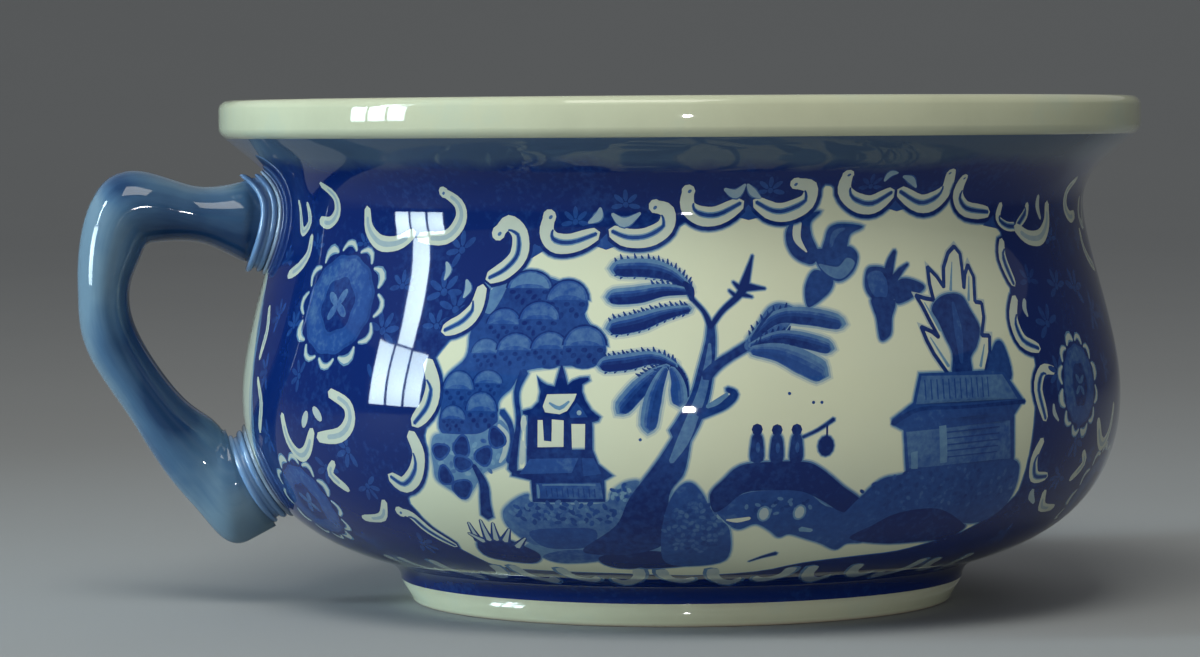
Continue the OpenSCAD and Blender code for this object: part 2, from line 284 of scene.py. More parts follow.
class Wall:
    """The outside and inside of the bowl as outlines of radius and height, in millimetres."""

    def __init__(self, pot, steps=40):
        size = {name: getattr(pot, name) / MM for name in pot.__annotations__ if name != "turning_steps"}
        self.rim_r = size["rim_diameter"] / 2
        self.rim_inner_r = self.rim_r - size["rim_width"]
        self.rim_joint = np.array((self.rim_r - size["rim_overhang"],
                                   size["overall_height"] - size["rim_height"]))
        self.neck_r = self.rim_r - size["neck_inset"]
        self.belly_r = self.neck_r + size["belly_swell"]
        self.neck_z = size["overall_height"] - size["neck_drop"]
        belly_z = size["belly_height"]
        foot_z = size["foot_height"]
        base_r = size["base_diameter"] / 2
        cove_r = size["cove_diameter"] / 2
        thick = size["wall_thickness"]
        cove_top = np.array((cove_r, foot_z + size["cove_rise"]))
        base_way = np.array((math.cos(pot.base_slope), math.sin(pot.base_slope)))
        flare_way = np.array((math.cos(pot.flare_slope), math.sin(pot.flare_slope)))
        belly, neck = (self.belly_r, belly_z), (self.neck_r, self.neck_z)
        above_belly = belly_z + size["belly_upper"]
        below_belly = belly_z - size["belly_lower"]
        above_neck = self.neck_z + size["neck_upper"]
        below_neck = self.neck_z - size["neck_lower"]
        self.outer = np.vstack((
            [(base_r, foot_z)],
            bezier([(base_r, foot_z), (base_r, foot_z + size["cove_rise"] / 2),
                    cove_top - base_way * (cove_r - base_r) / 2, cove_top], steps // 2),
            bezier([cove_top, cove_top + size["base_run"] * base_way, (self.belly_r, below_belly), belly],
                   steps),
            bezier([belly, (self.belly_r, above_belly), (self.neck_r, below_neck), neck], steps),
            bezier([neck, (self.neck_r, above_neck), self.rim_joint - size["flare_run"] * flare_way,
                    self.rim_joint], steps // 2)))
        inner_belly, inner_neck = self.belly_r - thick, self.neck_r - thick
        self.floor_z = foot_z + size["floor_thickness"]
        floor_r = size["floor_diameter"] / 2
        joint_z = self.rim_joint[1]
        inner_steps = 14
        self.inner = np.vstack((
            [(self.rim_inner_r, joint_z)],
            bezier([(self.rim_inner_r, joint_z), (self.rim_inner_r, joint_z - thick),
                    (inner_neck, above_neck), (inner_neck, self.neck_z)], inner_steps),
            bezier([(inner_neck, self.neck_z), (inner_neck, below_neck),
                    (inner_belly, above_belly), (inner_belly, belly_z)], inner_steps),
            bezier([(inner_belly, belly_z), (inner_belly, below_belly),
                    (floor_r + size["floor_run"], self.floor_z), (floor_r, self.floor_z)], inner_steps)))
        steps_along = np.linalg.norm(np.diff(self.outer, axis=0), axis=1)
        run = np.concatenate(([0], np.cumsum(steps_along)))
        self.v = run - np.interp(belly_z, self.outer[:, 1], run)
        way = directions(self.outer)
        self.normals = np.column_stack((way[:, 1], -way[:, 0]))

    def at_height(self, z):
        """Radius of the wall at a height, and how far it faces down there, in radians."""
        radius = np.interp(z, self.outer[:, 1], self.outer[:, 0])
        facing = [np.interp(z, self.outer[:, 1], self.normals[:, k]) for k in (0, 1)]
        return radius, math.atan2(-facing[1], facing[0])

    def place(self, s, v):
        """Points and normals of the wall at places of the unrolled print."""
        r, z, out, up = (np.interp(v, self.v, column) for column in (*self.outer.T, *self.normals.T))
        turn = np.asarray(s) / PRINT_RADIUS
        points = np.column_stack((r * np.sin(turn), -r * np.cos(turn), z))
        normals = np.column_stack((out * np.sin(turn), -out * np.cos(turn), up))
        return points, normals

    def gaps(self, points):
        """How far points stand off the wall."""
        flat = np.column_stack((np.hypot(points[:, 0], points[:, 1]), points[:, 2]))
        start, along = self.outer[:-1], np.diff(self.outer, axis=0)
        away = flat[:, None, :] - start[None]
        share = np.clip((away * along).sum(2) / (along ** 2).sum(1), 0, 1)
        away -= share[..., None] * along
        far = np.linalg.norm(away, axis=2)
        nearest = far.argmin(1)
        rows = np.arange(len(points))
        side = (away[rows, nearest] * self.normals[nearest]).sum(1)
        return np.where(side < 0, -1, 1) * far[rows, nearest]

    def reach(self, points, axis, gap):
        """The points slid along an axis until they stand off the wall by a gap."""
        furthest, halvings = 60.0, 40
        low = np.full(len(points), -furthest)
        high = np.full(len(points), furthest)
        for _ in range(halvings):
            middle = (low + high) / 2
            near = self.gaps(points + middle[:, None] * axis) < gap
            low = np.where(near, middle, low)
            high = np.where(near, high, middle)
        return points + ((low + high) / 2)[:, None] * axis


# The print

class Print:
    """Shapes laid on the unrolled wall, each over the ones before it."""

    def __init__(self):
        self.shapes = []

    def fill(self, ink, points, bleed=0.0, rule=None):
        """A closed outline filled with one strength of blue, which bleeds into a paler ground round it."""
        outline = in_order(points)
        if bleed:
            for far, share in BLEED_STEPS:
                self.shapes.append((grown(outline, far * bleed), share * ink, max))
        self.shapes.append((outline, ink, rule))

    def thin(self, points, reach=0.7):
        """A bare outline, whose edge thins the darker ground round it."""
        outline = in_order(points)
        for far, ink in THINNED_STEPS:
            self.shapes.append((grown(outline, far * reach), ink, min))
        self.shapes.append((outline, BARE, None))

    def blob(self, ink, points, steps=5, bleed=0.8):
        """A closed outline with round corners."""
        self.fill(ink, smooth(points, steps, closed=True), bleed)

    def line(self, ink, points, widths, steps=5, bleed=0.0, rule=None):
        """A brush line of changing width."""
        marks = np.linspace(0, 1, len(points))
        wide = np.interp(marks, np.linspace(0, 1, len(widths)), widths)
        run = smooth(np.column_stack((points, wide)), steps)
        way = directions(run[:, :2])
        width = np.maximum(run[:, 2:], FINEST_LINE)
        side = np.column_stack((-way[:, 1], way[:, 0])) * width / 2
        start = run[:1, :2] - way[:1] * width[:1] * ROUND_END
        end = run[-1:, :2] + way[-1:] * width[-1:] * ROUND_END
        self.fill(ink, np.vstack((start, run[:, :2] + side, end, (run[:, :2] - side)[::-1])), bleed, rule)

    def oval(self, ink, centre, half_width, half_height, turn=0.0, waves=0, wave=0.0, bleed=0.0):
        """An oval, turned by an angle in degrees, with a wavy edge where it has waves."""
        steps = max(8, int(3 + 4 * max(half_width, half_height)), 6 * waves)
        a = np.linspace(0, 2 * math.pi, steps, endpoint=False)
        swell = 1 + wave * np.cos(waves * a)
        x, y = half_width * swell * np.cos(a), half_height * swell * np.sin(a)
        c, s = math.cos(math.radians(turn)), math.sin(math.radians(turn))
        self.fill(ink, np.column_stack((centre[0] + c * x - s * y, centre[1] + s * x + c * y)), bleed)

    def spots(self, ink, centres, radius, bleed=0.0):
        """Round spots."""
        for centre in centres:
            self.oval(ink, centre, radius, radius, bleed=bleed)

    def stipple(self, inks, centre, half_width, half_height, count, size):
        """Small dabs spread evenly over an oval, in a few inks by turns."""
        for k in range(count):
            turn = DAB_STEP * k
            out = math.sqrt((k + 0.5) / count)
            at = (centre[0] + half_width * out * math.cos(turn),
                  centre[1] + half_height * out * math.sin(turn))
            self.oval(inks[k % len(inks)], at, size, 0.6 * size, DAB_TURN * k)

    def repeat(self, shift):
        """Lays the shapes drawn so far once more, further round the pot."""
        self.shapes += [(outline + (shift, 0), ink, rule) for outline, ink, rule in self.shapes]


def in_order(points):
    """An outline that runs anticlockwise from its leftmost point."""
    outline = np.asarray(points, float)
    x, y = outline.T
    if (x * np.roll(y, -1) - np.roll(x, -1) * y).sum() < 0:
        outline = outline[::-1]
    return np.roll(outline, -outline[:, 0].argmin(), axis=0)


def grown(outline, reach):
    """An outline moved outwards by a distance."""
    behind = outline - np.roll(outline, 1, axis=0)
    ahead = np.roll(behind, -1, axis=0)
    out = np.zeros_like(outline)
    for edge in (behind, ahead):
        size = np.maximum(np.linalg.norm(edge, axis=1), 1e-9)
        out += np.column_stack((edge[:, 1], -edge[:, 0])) / size[:, None]
    return outline + 2 * reach * out / np.maximum((out ** 2).sum(1), 1.0)[:, None]


def scroll(art, way, width, curl=0.0, vein=True):
    """A leaf scroll: a white crescent, thickest past its middle, with an edge, a vein and a curled head."""
    run = smooth(way, 4)
    marks = np.linspace(0, 1, len(run))
    wide = np.interp(marks, (0, 0.15, 0.55, 0.85, 1), (0.6, 0.72, 1.0, 0.92, 0.62)) * width
    ahead = directions(run)
    left = np.column_stack((-ahead[:, 1], ahead[:, 0]))
    bend = np.sign((ahead[:-1, 0] * ahead[1:, 1] - ahead[:-1, 1] * ahead[1:, 0]).sum())
    if vein:
        art.line(0.94, run, wide + 1.9, 1, bleed=0.6)
    if vein and curl:
        art.oval(0.94, run[0], curl + 0.8, curl + 0.8)
    art.line(0.09, run, wide, 1)
    if curl:
        art.oval(0.09, run[0], curl, curl)
        art.oval(0.6, run[0] + bend * 0.2 * curl * left[0], 0.34 * curl, 0.24 * curl, 40)
    if vein:
        inward = np.interp(marks, (0, 0.22, 0.4, 1), (0.5, 0.5, 0.12, 0.0)) * wide * bend
        vein_run = (run + inward[:, None] * left)[marks > 0.22]
        art.line(0.4, vein_run, (0.5, 1.5, 1.5, 1.1), 1)
        art.line(0.8, vein_run, (0.4, 0.85, 0.85, 0.75), 1)
    else:
        art.line(0.24, run[2:-2], wide[2:-2] * 0.34, 1)


def clump(art, centre, width, height, pale=0.58):
    """A rounded clump of leaves: a paler dome with a dark edge, over a dark and mottled underside."""
    s, v = centre
    dome = arc((0, 0), 1, 3, 177, 12) * (0.5 * width, 0.5 * height)
    art.fill(0.9, dome * 1.06 + centre, bleed=0.6)
    art.oval(0.79, (s, v - 0.08 * height), 0.5 * width, 0.44 * height, bleed=0.4)
    hem = arc((0, 0), 1, 165, 15, 6) * (0.43 * width, 0.14 * height)
    art.fill(0.5 * pale + 0.36, np.vstack((dome * 0.97, hem * (1.0, 0.2))) + centre)
    art.fill(pale, np.vstack((dome * (0.86, 0.9), hem * (0.84, 1.0))) + centre)
    for k in range(7):
        at = (s + width * (-0.36 + 0.12 * k), v - height * (0.08 + 0.13 * (k % 3)))
        art.oval(0.92, at, 0.075 * width, 0.06 * height, 40 * (k % 3))


def frond(art, way, width, leafy=0.5, depth=1.0):
    """A drooping willow frond: a soft cigar, deeper in ink below, with leaves along a share of it."""
    run = smooth(way, 12)
    marks = np.linspace(0, 1, len(run))
    wide = np.interp(marks, (0, 0.25, 0.6, 0.9, 1), (0.34, 0.66, 1.0, 0.96, 0.55)) * width
    ahead = directions(run)
    side = np.column_stack((-ahead[:, 1], ahead[:, 0])) * (-1 if ahead[:, 0].mean() > 0 else 1)
    for i in range(2, int(leafy * len(run)), 2):
        for edge, share in ((-1, 0.34), (1, 0.18))[:2 if leafy > 0.8 else 1]:
            root = run[i] + edge * 0.4 * wide[i] * side[i]
            tip = root + edge * (share - 0.05 * (7 * i % 4)) * width * side[i] + 0.5 * ahead[i]
            art.line(0.84, [root, tip], (0.9, 0.3), 1, rule=max)
    art.line(0.52, run[::3], wide[::3], 1, bleed=1.0)
    for ink, off, thick in ((0.68, 0.1, 0.76), (0.86, 0.17, 0.6), (1.0, 0.25, 0.4)):
        lower = run + (off * wide)[:, None] * side
        art.line(0.52 + depth * (ink - 0.52), lower[1:-1:3], thick * wide[1:-1:3], 1)


def medallion(art, centre, half_width, half_height, turn=0.0, scallops=12):
    """A flower in a dark oval, in a paler ring, inside a ring of white scallops."""
    c, s = math.cos(math.radians(turn)), math.sin(math.radians(turn))
    for k in range(scallops):
        big = 1.25 if k % 3 == 0 else 0.85
        a = (np.array((0.12, 0.36, 0.64, 0.88)) + k) * 2 * math.pi / scallops
        swell = np.array((0.93, 1.03, 1.03, 0.93))
        x, y = half_width * swell * np.cos(a), half_height * swell * np.sin(a)
        way = np.column_stack((centre[0] + c * x - s * y, centre[1] + s * x + c * y))
        art.line(0.45, way, (1.0, 2.2 * big, 2.0 * big, 0.9), 2)
        art.line(0.14, way, (0.4, 1.3 * big, 1.1 * big, 0.4), 2)
    art.oval(0.75, centre, 0.84 * half_width, 0.84 * half_height, turn, scallops, 0.02)
    art.oval(0.68, centre, 0.78 * half_width, 0.78 * half_height, turn, scallops, 0.02)
    art.oval(0.72, centre, 0.46 * half_width, 0.52 * half_height, turn, 6, 0.06)
    art.oval(0.94, centre, 0.40 * half_width, 0.46 * half_height, turn, 6, 0.06)
    for k in range(4):
        a = math.radians(90 * k + 40 + turn)
        at = (centre[0] + 0.16 * half_width * math.cos(a), centre[1] + 0.16 * half_height * math.sin(a))
        art.oval(0.62, at, 0.15 * half_width, 0.07 * half_width, 90 * k + 40 + turn)


def spray(art, centre, size, turn, ink=0.77):
    """A small spray of leaves, a shade paler than the ground."""
    for k in range(5):
        a = math.radians(turn + 50 * (k - 2))
        at = (centre[0] + 0.62 * size * math.cos(a), centre[1] + 0.62 * size * math.sin(a))
        art.oval(ink, at, 0.42 * size, 0.17 * size, turn + 50 * (k - 2))
    art.oval(ink, centre, 0.2 * size, 0.2 * size)


def scenery_field(art):
    """The bare field of the scene inside the scroll border."""
    art.thin(smooth([(-62.0, 32.4), (-57.2, 35.8), (-52.0, 39.2), (-47.2, 40.6), (-41.6, 39.6),
                     (-32.0, 41.2), (-23.2, 40.6), (-15.2, 44.4), (-10.8, 46.6), (-7.6, 45.8),
                     (3.8, 48.4), (11.0, 46.6), (20.4, 50.6), (23.4, 55.0), (27.2, 53.0), (32.8, 48.6),
                     (44.2, 50.4), (51.2, 48.4), (61.0, 51.6), (63.6, 49.6), (68.2, 45.6), (77.6, 44.0),
                     (78.4, 39.6), (78.2, 30.8), (77.0, 26.4), (76.6, 19.0), (82.0, 11.8), (80.8, 3.0),
                     (80.0, -7.8), (79.8, -17.4), (79.4, -22.0), (73.6, -27.4), (66.8, -32.6),
                     (58.8, -35.4), (48.8, -38.8), (36.0, -40.2), (21.2, -42.6), (8.6, -47.4),
                     (-11.0, -49.6), (-32.0, -48.2), (-56.8, -47.4), (-69.2, -45.8), (-74.8, -39.0),
                     (-80.0, -31.8), (-82.4, -24.8), (-83.8, -20.8), (-77.8, -15.4), (-74.8, -9.0),
                     (-75.4, -4.4), (-73.0, 1.2), (-72.0, 6.0), (-74.2, 11.6), (-70.0, 17.8),
                     (-65.6, 22.8), (-63.6, 28.0)], 3, closed=True))


def clumped_tree(art):
    """The tall clumped tree on the left, and the spotted bush at its foot."""
    art.blob(0.78, [(-61.0, 27.2), (-64.6, 20.8), (-65.2, 14.4), (-70.2, 9.4), (-71.0, 3.0),
                    (-71.2, -3.4), (-63.6, -5.0), (-56.8, -2.6), (-56.0, 4.0), (-52.8, 7.4),
                    (-50.0, 11.2), (-41.4, 12.6), (-32.4, 13.2), (-31.6, 18.4), (-35.8, 24.0),
                    (-37.0, 29.2), (-42.6, 32.6), (-51.0, 34.4), (-56.2, 33.0)])
    art.blob(0.5, [(-63.0, 26.6), (-61.0, 30.0), (-56.2, 33.2), (-57.2, 29.0), (-60.0, 24.8)], bleed=0.0)
    for centre, wide, high in (((-50.4, 30.8), 11.8, 8.8), ((-40.6, 28.0), 10.4, 10.0),
                               ((-56.2, 22.2), 9.0, 8.0), ((-47.2, 23.4), 10.2, 9.0),
                               ((-60.2, 15.2), 7.6, 7.4), ((-52.6, 16.0), 9.6, 8.6),
                               ((-44.2, 16.4), 9.2, 8.6), ((-35.8, 17.2), 10.4, 10.0),
                               ((-59.0, 8.2), 7.6, 6.4), ((-66.6, 6.6), 8.4, 9.0),
                               ((-67.8, -0.4), 6.8, 6.8), ((-60.4, 1.6), 8.2, 9.4)):
        clump(art, centre, wide, high, 0.5 if wide > 11 else 0.6)
    art.blob(0.5, [(-72.6, -4.0), (-74.2, -7.0), (-74.2, -11.4), (-74.0, -15.2), (-70.4, -17.8),
                   (-67.2, -20.2), (-64.2, -17.4), (-60.8, -13.2), (-57.2, -11.6), (-54.8, -10.4),
                   (-53.0, -7.2), (-53.0, -3.4), (-55.2, -0.2), (-57.0, -1.2), (-60.8, -3.4),
                   (-66.6, -3.8)])
    art.line(0.2, [(-56.0, -1.4), (-54.2, -3.8), (-54.4, -7.2), (-56.2, -10.2)], (0.8, 1.6, 1.6, 0.6))
    art.stipple((0.62, 0.4), (-64.0, -9.4), 8.4, 5.0, 26, 0.9)
    for centre, wide, turn in (((-71.6, -8.0), 1.9, 20), ((-65.8, -6.8), 2.2, 75),
                               ((-60.2, -8.8), 2.1, 50), ((-56.6, -4.4), 2.1, 110),
                               ((-66.0, -10.8), 2.0, 0), ((-71.2, -14.0), 2.0, 95),
                               ((-67.2, -17.2), 2.4, 35)):
        art.oval(0.72, centre, wide + 0.7, wide + 0.2, turn, 3, 0.1)
        art.oval(0.93, centre, wide + 0.2, wide - 0.4, turn, 3, 0.1)
    art.line(DARK, [(-63.0, -11.2), (-61.2, -15.8), (-61.8, -20.6), (-62.4, -24.6)],
             (1.2, 2.2, 2.6, 3.2), bleed=0.7)
    art.line(0.8, [(-55.2, 1.8), (-53.2, -1.0), (-52.6, -5.2), (-54.0, -10.0)], (1.6, 1.3, 1.2, 1.4),
             bleed=0.5)
    art.line(0.9, [(-50.0, 11.2), (-51.6, 6.4), (-51.0, 0.0), (-52.0, -6.2), (-53.2, -12.0)],
             (2.2, 1.3, 1.2, 1.5, 2.2), bleed=0.7)


def tea_house(art):
    """The small two-storey tea house on its terrace."""
    art.fill(0.95, [(-46.8, 10.2), (-45.8, 9.0), (-44.4, 8.2), (-42.4, 7.8), (-41.2, 12.8),
                    (-40.8, 12.8), (-39.4, 8.2), (-38.2, 9.2), (-36.6, 9.8), (-34.6, 10.0), (-34.4, 9.4),
                    (-36.0, 8.4), (-36.0, 6.6), (-35.2, 4.6), (-33.8, 2.4), (-31.8, 0.8), (-32.2, 0.0),
                    (-33.6, -0.4), (-33.6, -7.4), (-49.2, -7.6), (-48.8, 1.0), (-50.0, 1.4),
                    (-50.0, 2.0), (-47.8, 2.6), (-46.2, 4.2), (-45.8, 6.6)], 0.7)
    art.fill(0.08, [(-44.2, 6.0), (-37.2, 6.2), (-37.8, 4.6), (-39.4, 2.2), (-41.2, 1.4), (-44.6, 1.8),
                    (-45.2, 3.2)])
    art.line(0.42, [(-43.6, 4.0), (-41.2, 2.8), (-39.0, 4.4)], (0.5, 1.0, 0.5), 3)
    art.fill(0.72, [(-37.2, 4.2), (-35.8, 2.6), (-34.6, 0.8), (-38.6, 0.6), (-39.0, 1.8)])
    art.oval(0.3, (-36.6, 1.8), 0.6, 0.6)
    art.fill(0.05, [(-46.4, 0.0), (-45.2, 0.0), (-45.0, -4.8), (-43.2, -5.0), (-43.0, 0.2), (-40.2, 0.0),
                    (-40.4, -6.2), (-46.6, -6.4)])
    art.fill(0.05, [(-38.4, -0.8), (-35.2, -0.8), (-35.4, -6.8), (-38.4, -7.0)])
    art.line(DARK, [(-39.6, -3.2), (-39.6, -7.0)], (0.6, 1.6), 3)
    art.line(0.15, [(-49.8, 0.8), (-49.8, -0.8), (-50.0, -2.6)], (0.8, 1.5, 0.6), 3)
    art.line(0.15, [(-50.2, -5.0), (-50.0, -7.6), (-50.8, -10.4)], (0.7, 1.6, 0.9), 3)
    art.fill(0.9, [(-49.2, -7.0), (-33.6, -6.8), (-32.4, -10.2), (-29.2, -13.0), (-31.2, -14.2),
                   (-31.4, -19.8), (-49.2, -20.2), (-48.8, -14.4), (-53.6, -13.4), (-53.2, -12.2),
                   (-49.6, -12.0)], 0.6)
    art.fill(0.68, [(-48.6, -9.2), (-37.0, -8.8), (-38.8, -12.4), (-51.6, -13.0)])
    art.fill(0.74, [(-36.2, -8.8), (-33.4, -8.8), (-31.8, -12.6), (-36.0, -13.2)])
    art.fill(0.66, [(-47.8, -15.2), (-32.2, -14.8), (-31.8, -19.0), (-48.2, -19.2)])
    art.line(0.45, [(-47.4, -15.6), (-47.4, -17.2), (-47.6, -19.0)], (0.5, 0.7, 0.5), 2)
    art.line(0.5, [(-46.2, -15.6), (-40.6, -15.4), (-33.4, -15.4)], (0.3, 0.5, 0.3), 2)
    rail = (-45.4, -18.6)
    for k in range(10):
        s, v = rail[0] + 1.3 * k, rail[1]
        art.line(0.8, [(s, v + 2.2), (s, v)], (0.3, 0.3), 1)


def mound_and_rocks(art):
    """The mottled mound, the dark rocks at its foot and the spiky grass."""
    art.blob(0.5, [(-56.2, -35.6), (-48.8, -31.4), (-34.4, -31.6), (-21.6, -33.4), (-11.8, -35.0),
                   (-11.2, -40.2), (-25.0, -41.2), (-35.6, -40.8), (-47.0, -40.8), (-53.0, -39.6)])
    art.blob(0.6, [(-58.0, -23.8), (-54.8, -20.2), (-50.2, -18.0), (-48.6, -20.4), (-32.4, -20.2),
                   (-29.8, -17.2), (-26.2, -14.6), (-23.0, -14.6), (-26.0, -19.8), (-27.4, -25.0),
                   (-35.6, -32.4), (-51.2, -34.4), (-57.2, -28.8)])
    art.stipple((0.54, 0.7, 0.58, 0.76), (-41.6, -23.4), 14.5, 3.4, 80, 1.0)
    art.stipple((0.4, 0.7), (-27.4, -17.4), 2.6, 2.4, 14, 0.8)
    art.blob(0.72, [(-52.4, -29.4), (-44.0, -27.8), (-34.8, -28.2), (-37.6, -34.4), (-49.2, -35.2)])
    art.blob(DARK, [(-69.0, -33.8), (-61.6, -31.8), (-56.2, -34.4), (-52.4, -38.6), (-57.0, -43.0),
                    (-69.2, -40.6)])
    art.blob(0.66, [(-51.8, -39.0), (-43.4, -35.8), (-34.2, -37.0), (-36.2, -40.8), (-47.6, -42.4)])
    for root, tip in (((-68.2, -33.4), (-68.6, -27.0)), ((-67.0, -33.4), (-70.2, -30.6)),
                      ((-65.0, -32.8), (-64.8, -26.0)), ((-62.8, -32.6), (-61.6, -26.8)),
                      ((-60.4, -33.0), (-57.6, -28.6)), ((-57.8, -35.2), (-54.2, -31.6))):
        art.line(0.9, [root, tip], (3.2, 1.0), 3)
        art.line(0.2, [root, tip], (1.5, 0.4), 3)
    art.blob(DARK, [(-35.8, -38.8), (-22.8, -35.8), (-10.8, -38.2), (-12.8, -43.4), (-31.4, -44.8)])


def willow(art):
    """The willow: a leaning trunk on a dark root, with drooping fronds."""
    art.blob(0.91, [(-39.4, -35.4), (-29.6, -26.8), (-25.6, -18.8), (-19.6, -10.6), (-15.6, -4.4),
                    (-12.8, 0.6), (-10.8, 0.2), (-11.4, -6.0), (-12.8, -12.6), (-16.2, -18.2),
                    (-17.0, -31.6), (-24.6, -36.8), (-35.6, -37.8)])
    art.line(0.88, [(-13.6, -3.6), (-11.4, 0.2), (-9.0, 5.6), (-7.4, 12.6), (-6.4, 18.2), (-6.2, 22.4)],
             (5.4, 5.0, 4.2, 3.4, 2.4, 1.6), bleed=0.8)
    # The paler line up the trunk's middle is partly the print's shading and partly a painted highlight
    art.line(0.58, [(-15.6, -9.6), (-12.8, -4.4), (-10.4, 1.6), (-8.4, 7.0), (-7.0, 13.6), (-6.6, 17.8)],
             (1.2, 2.8, 2.5, 2.1, 1.5, 0.7))
    art.line(DARK, [(-6.2, 21.8), (-7.8, 25.4), (-10.6, 28.6), (-12.0, 31.0)], (1.5, 0.9, 0.9, 1.2),
             bleed=0.5)
    frond(art, [(-11.0, 30.6), (-15.2, 34.2), (-21.0, 35.8), (-29.8, 35.8)], 4.6, 0.95)
    frond(art, [(-11.0, 30.2), (-17.2, 30.6), (-23.8, 29.4), (-30.6, 29.0)], 4.2)
    frond(art, [(-11.0, 26.2), (-17.2, 25.0), (-23.2, 23.0), (-30.2, 21.6)], 4.4, 0.95)
    art.line(DARK, [(-10.6, 28.2), (-11.0, 30.6), (-12.4, 32.4)], (1.0, 2.0, 1.0))
    art.line(DARK, [(-6.0, 22.2), (-3.4, 25.6), (0.0, 28.6), (2.6, 31.6)], (1.1, 1.1, 1.4, 2.0), bleed=0.5)
    for root, tip, wide in (((1.8, 30.8), (4.4, 38.6), 2.4), ((2.4, 31.2), (7.0, 30.8), 2.0),
                            ((1.6, 30.4), (-0.6, 32.4), 1.6), ((0.2, 28.8), (-1.6, 30.4), 1.1),
                            ((1.2, 29.6), (3.8, 28.8), 1.2)):
        art.line(DARK, [root, tip], (wide, 0.3), 3, bleed=0.5)
    art.line(0.86, [(-7.6, 10.2), (-5.2, 12.6), (-2.0, 14.8), (2.4, 17.4)], (2.8, 2.4, 2.0, 2.2), bleed=0.7)
    art.blob(0.6, [(1.4, 17.2), (4.4, 21.8), (7.6, 26.2), (11.0, 27.2), (14.4, 25.6), (12.6, 22.2),
                   (9.0, 18.6), (4.2, 15.8)])
    frond(art, [(2.8, 18.6), (9.4, 23.8), (17.2, 24.0), (25.8, 22.2)], 4.4, 0.5, 0.7)
    frond(art, [(2.8, 17.2), (9.6, 19.2), (16.2, 18.2), (22.4, 16.4)], 4.0, 0.5, 0.75)
    frond(art, [(3.2, 16.2), (9.4, 15.6), (15.4, 13.0), (20.2, 10.4)], 6.0, 0.5, 0.4)
    art.line(0.85, [(3.4, 19.0), (6.0, 22.8), (8.6, 25.4)], (0.6, 0.7, 0.4), 3)
    art.line(DARK, [(-12.2, 5.6), (-12.6, 9.4), (-14.4, 12.4), (-17.2, 14.0)], (1.6, 1.5, 1.4, 1.6),
             bleed=0.5)
    frond(art, [(-14.4, 12.6), (-19.4, 14.6), (-26.0, 13.6), (-32.0, 13.0)], 4.0, 0.9)
    frond(art, [(-16.2, 12.6), (-20.0, 10.2), (-23.6, 6.6), (-27.4, 2.2)], 4.4, 0.5, 0.7)
    frond(art, [(-16.8, 12.2), (-18.6, 8.4), (-20.0, 3.4), (-20.8, -2.2)], 4.2, 0.3, 0.6)
    frond(art, [(-15.4, 12.2), (-14.2, 9.4), (-13.8, 6.6), (-13.6, 3.8)], 3.8, 0.4, 0.4)
    art.line(0.85, [(-9.0, 1.6), (-6.4, 2.4), (-3.2, 3.8), (-1.2, 6.0), (-2.8, 7.2)],
             (2.6, 2.2, 2.0, 1.8, 1.0), bleed=0.6)
    art.line(0.5, [(-7.4, 3.2), (-5.0, 4.4), (-2.8, 6.2)], (0.9, 1.4, 0.7))
    art.spots(0.75, [(11.6, 6.0), (17.2, 3.8), (19.2, 3.8), (-22.6, -4.4)], 0.4)
    art.blob(0.72, [(-18.6, -32.2), (-17.2, -22.6), (-14.6, -16.6), (-11.4, -14.6), (-8.6, -17.2),
                    (-5.2, -23.8), (-1.4, -28.2), (-1.4, -40.4), (-11.2, -43.4), (-17.8, -41.2)])
    art.stipple((0.62, 0.8, 0.66), (-10.4, -28.2), 7.6, 8.4, 80, 0.9)


def bridge(art):
    """The bridge with its three plain walkers."""
    art.blob(0.74, [(-4.8, -21.6), (1.2, -17.8), (7.4, -17.0), (15.6, -17.2), (21.8, -21.6),
                    (28.8, -23.2), (35.4, -27.2), (35.8, -33.8), (31.0, -34.4), (28.6, -36.8),
                    (23.6, -34.0), (18.6, -31.8), (14.0, -30.0), (11.4, -31.0), (8.6, -28.6),
                    (4.8, -26.4), (0.6, -28.0), (-3.2, -25.0)])
    art.stipple((0.85, 0.55), (10.6, -21.4), 9.0, 2.2, 20, 0.8)
    art.blob(0.98, [(-6.6, -17.8), (-3.6, -14.0), (-0.4, -11.0), (4.2, -10.0), (14.8, -10.0),
                    (19.4, -11.8), (25.2, -16.4), (30.4, -20.2), (30.0, -23.4), (26.0, -23.4),
                    (20.4, -20.0), (14.8, -17.4), (7.0, -17.0), (1.2, -17.6), (-2.8, -21.2),
                    (-5.6, -22.6)])
    for centre in ((6.6, -23.4), (15.4, -23.2)):
        art.oval(0.46, centre, 1.7, 2.3, bleed=0.7)
        art.oval(0.2, centre, 1.2, 1.8, bleed=0.4)
    # The bright white streak under the bridge is a painted highlight
    art.line(0.05, [(-2.4, -25.0), (0.2, -25.2), (3.2, -24.6)], (0.4, 1.3, 0.9), 3)
    art.line(0.4, [(16.6, -28.4), (19.6, -29.0)], (1.6, 1.1), 3)
    art.line(0.9, [(5.4, -41.2), (8.4, -39.2), (12.0, -37.6)], (0.3, 0.8, 1.4), 3, 0.5)
    for s, v in ((4.0, -9.6), (8.6, -9.8), (13.2, -9.8)):
        art.blob(0.92, [(s - 1.4, v), (s + 1.4, v), (s + 1.4, v + 4.2), (s + 0.8, v + 6.2),
                        (s - 0.8, v + 6.2), (s - 1.4, v + 4.2)], 3, 0.6)
        art.oval(0.95, (s, v + 7.4), 1.3, 1.4)
        art.oval(0.7, (s + 0.2, v + 3.2), 0.5, 1.3)
    art.line(0.95, [(14.6, -4.2), (18.2, -2.6), (22.0, -0.2)], (0.6, 0.6, 0.8), 3, 0.4)
    art.line(0.95, [(20.4, -1.4), (20.4, -4.2)], (0.5, 0.5), 1)
    art.oval(0.95, (20.2, -6.4), 1.9, 2.4, bleed=0.5)


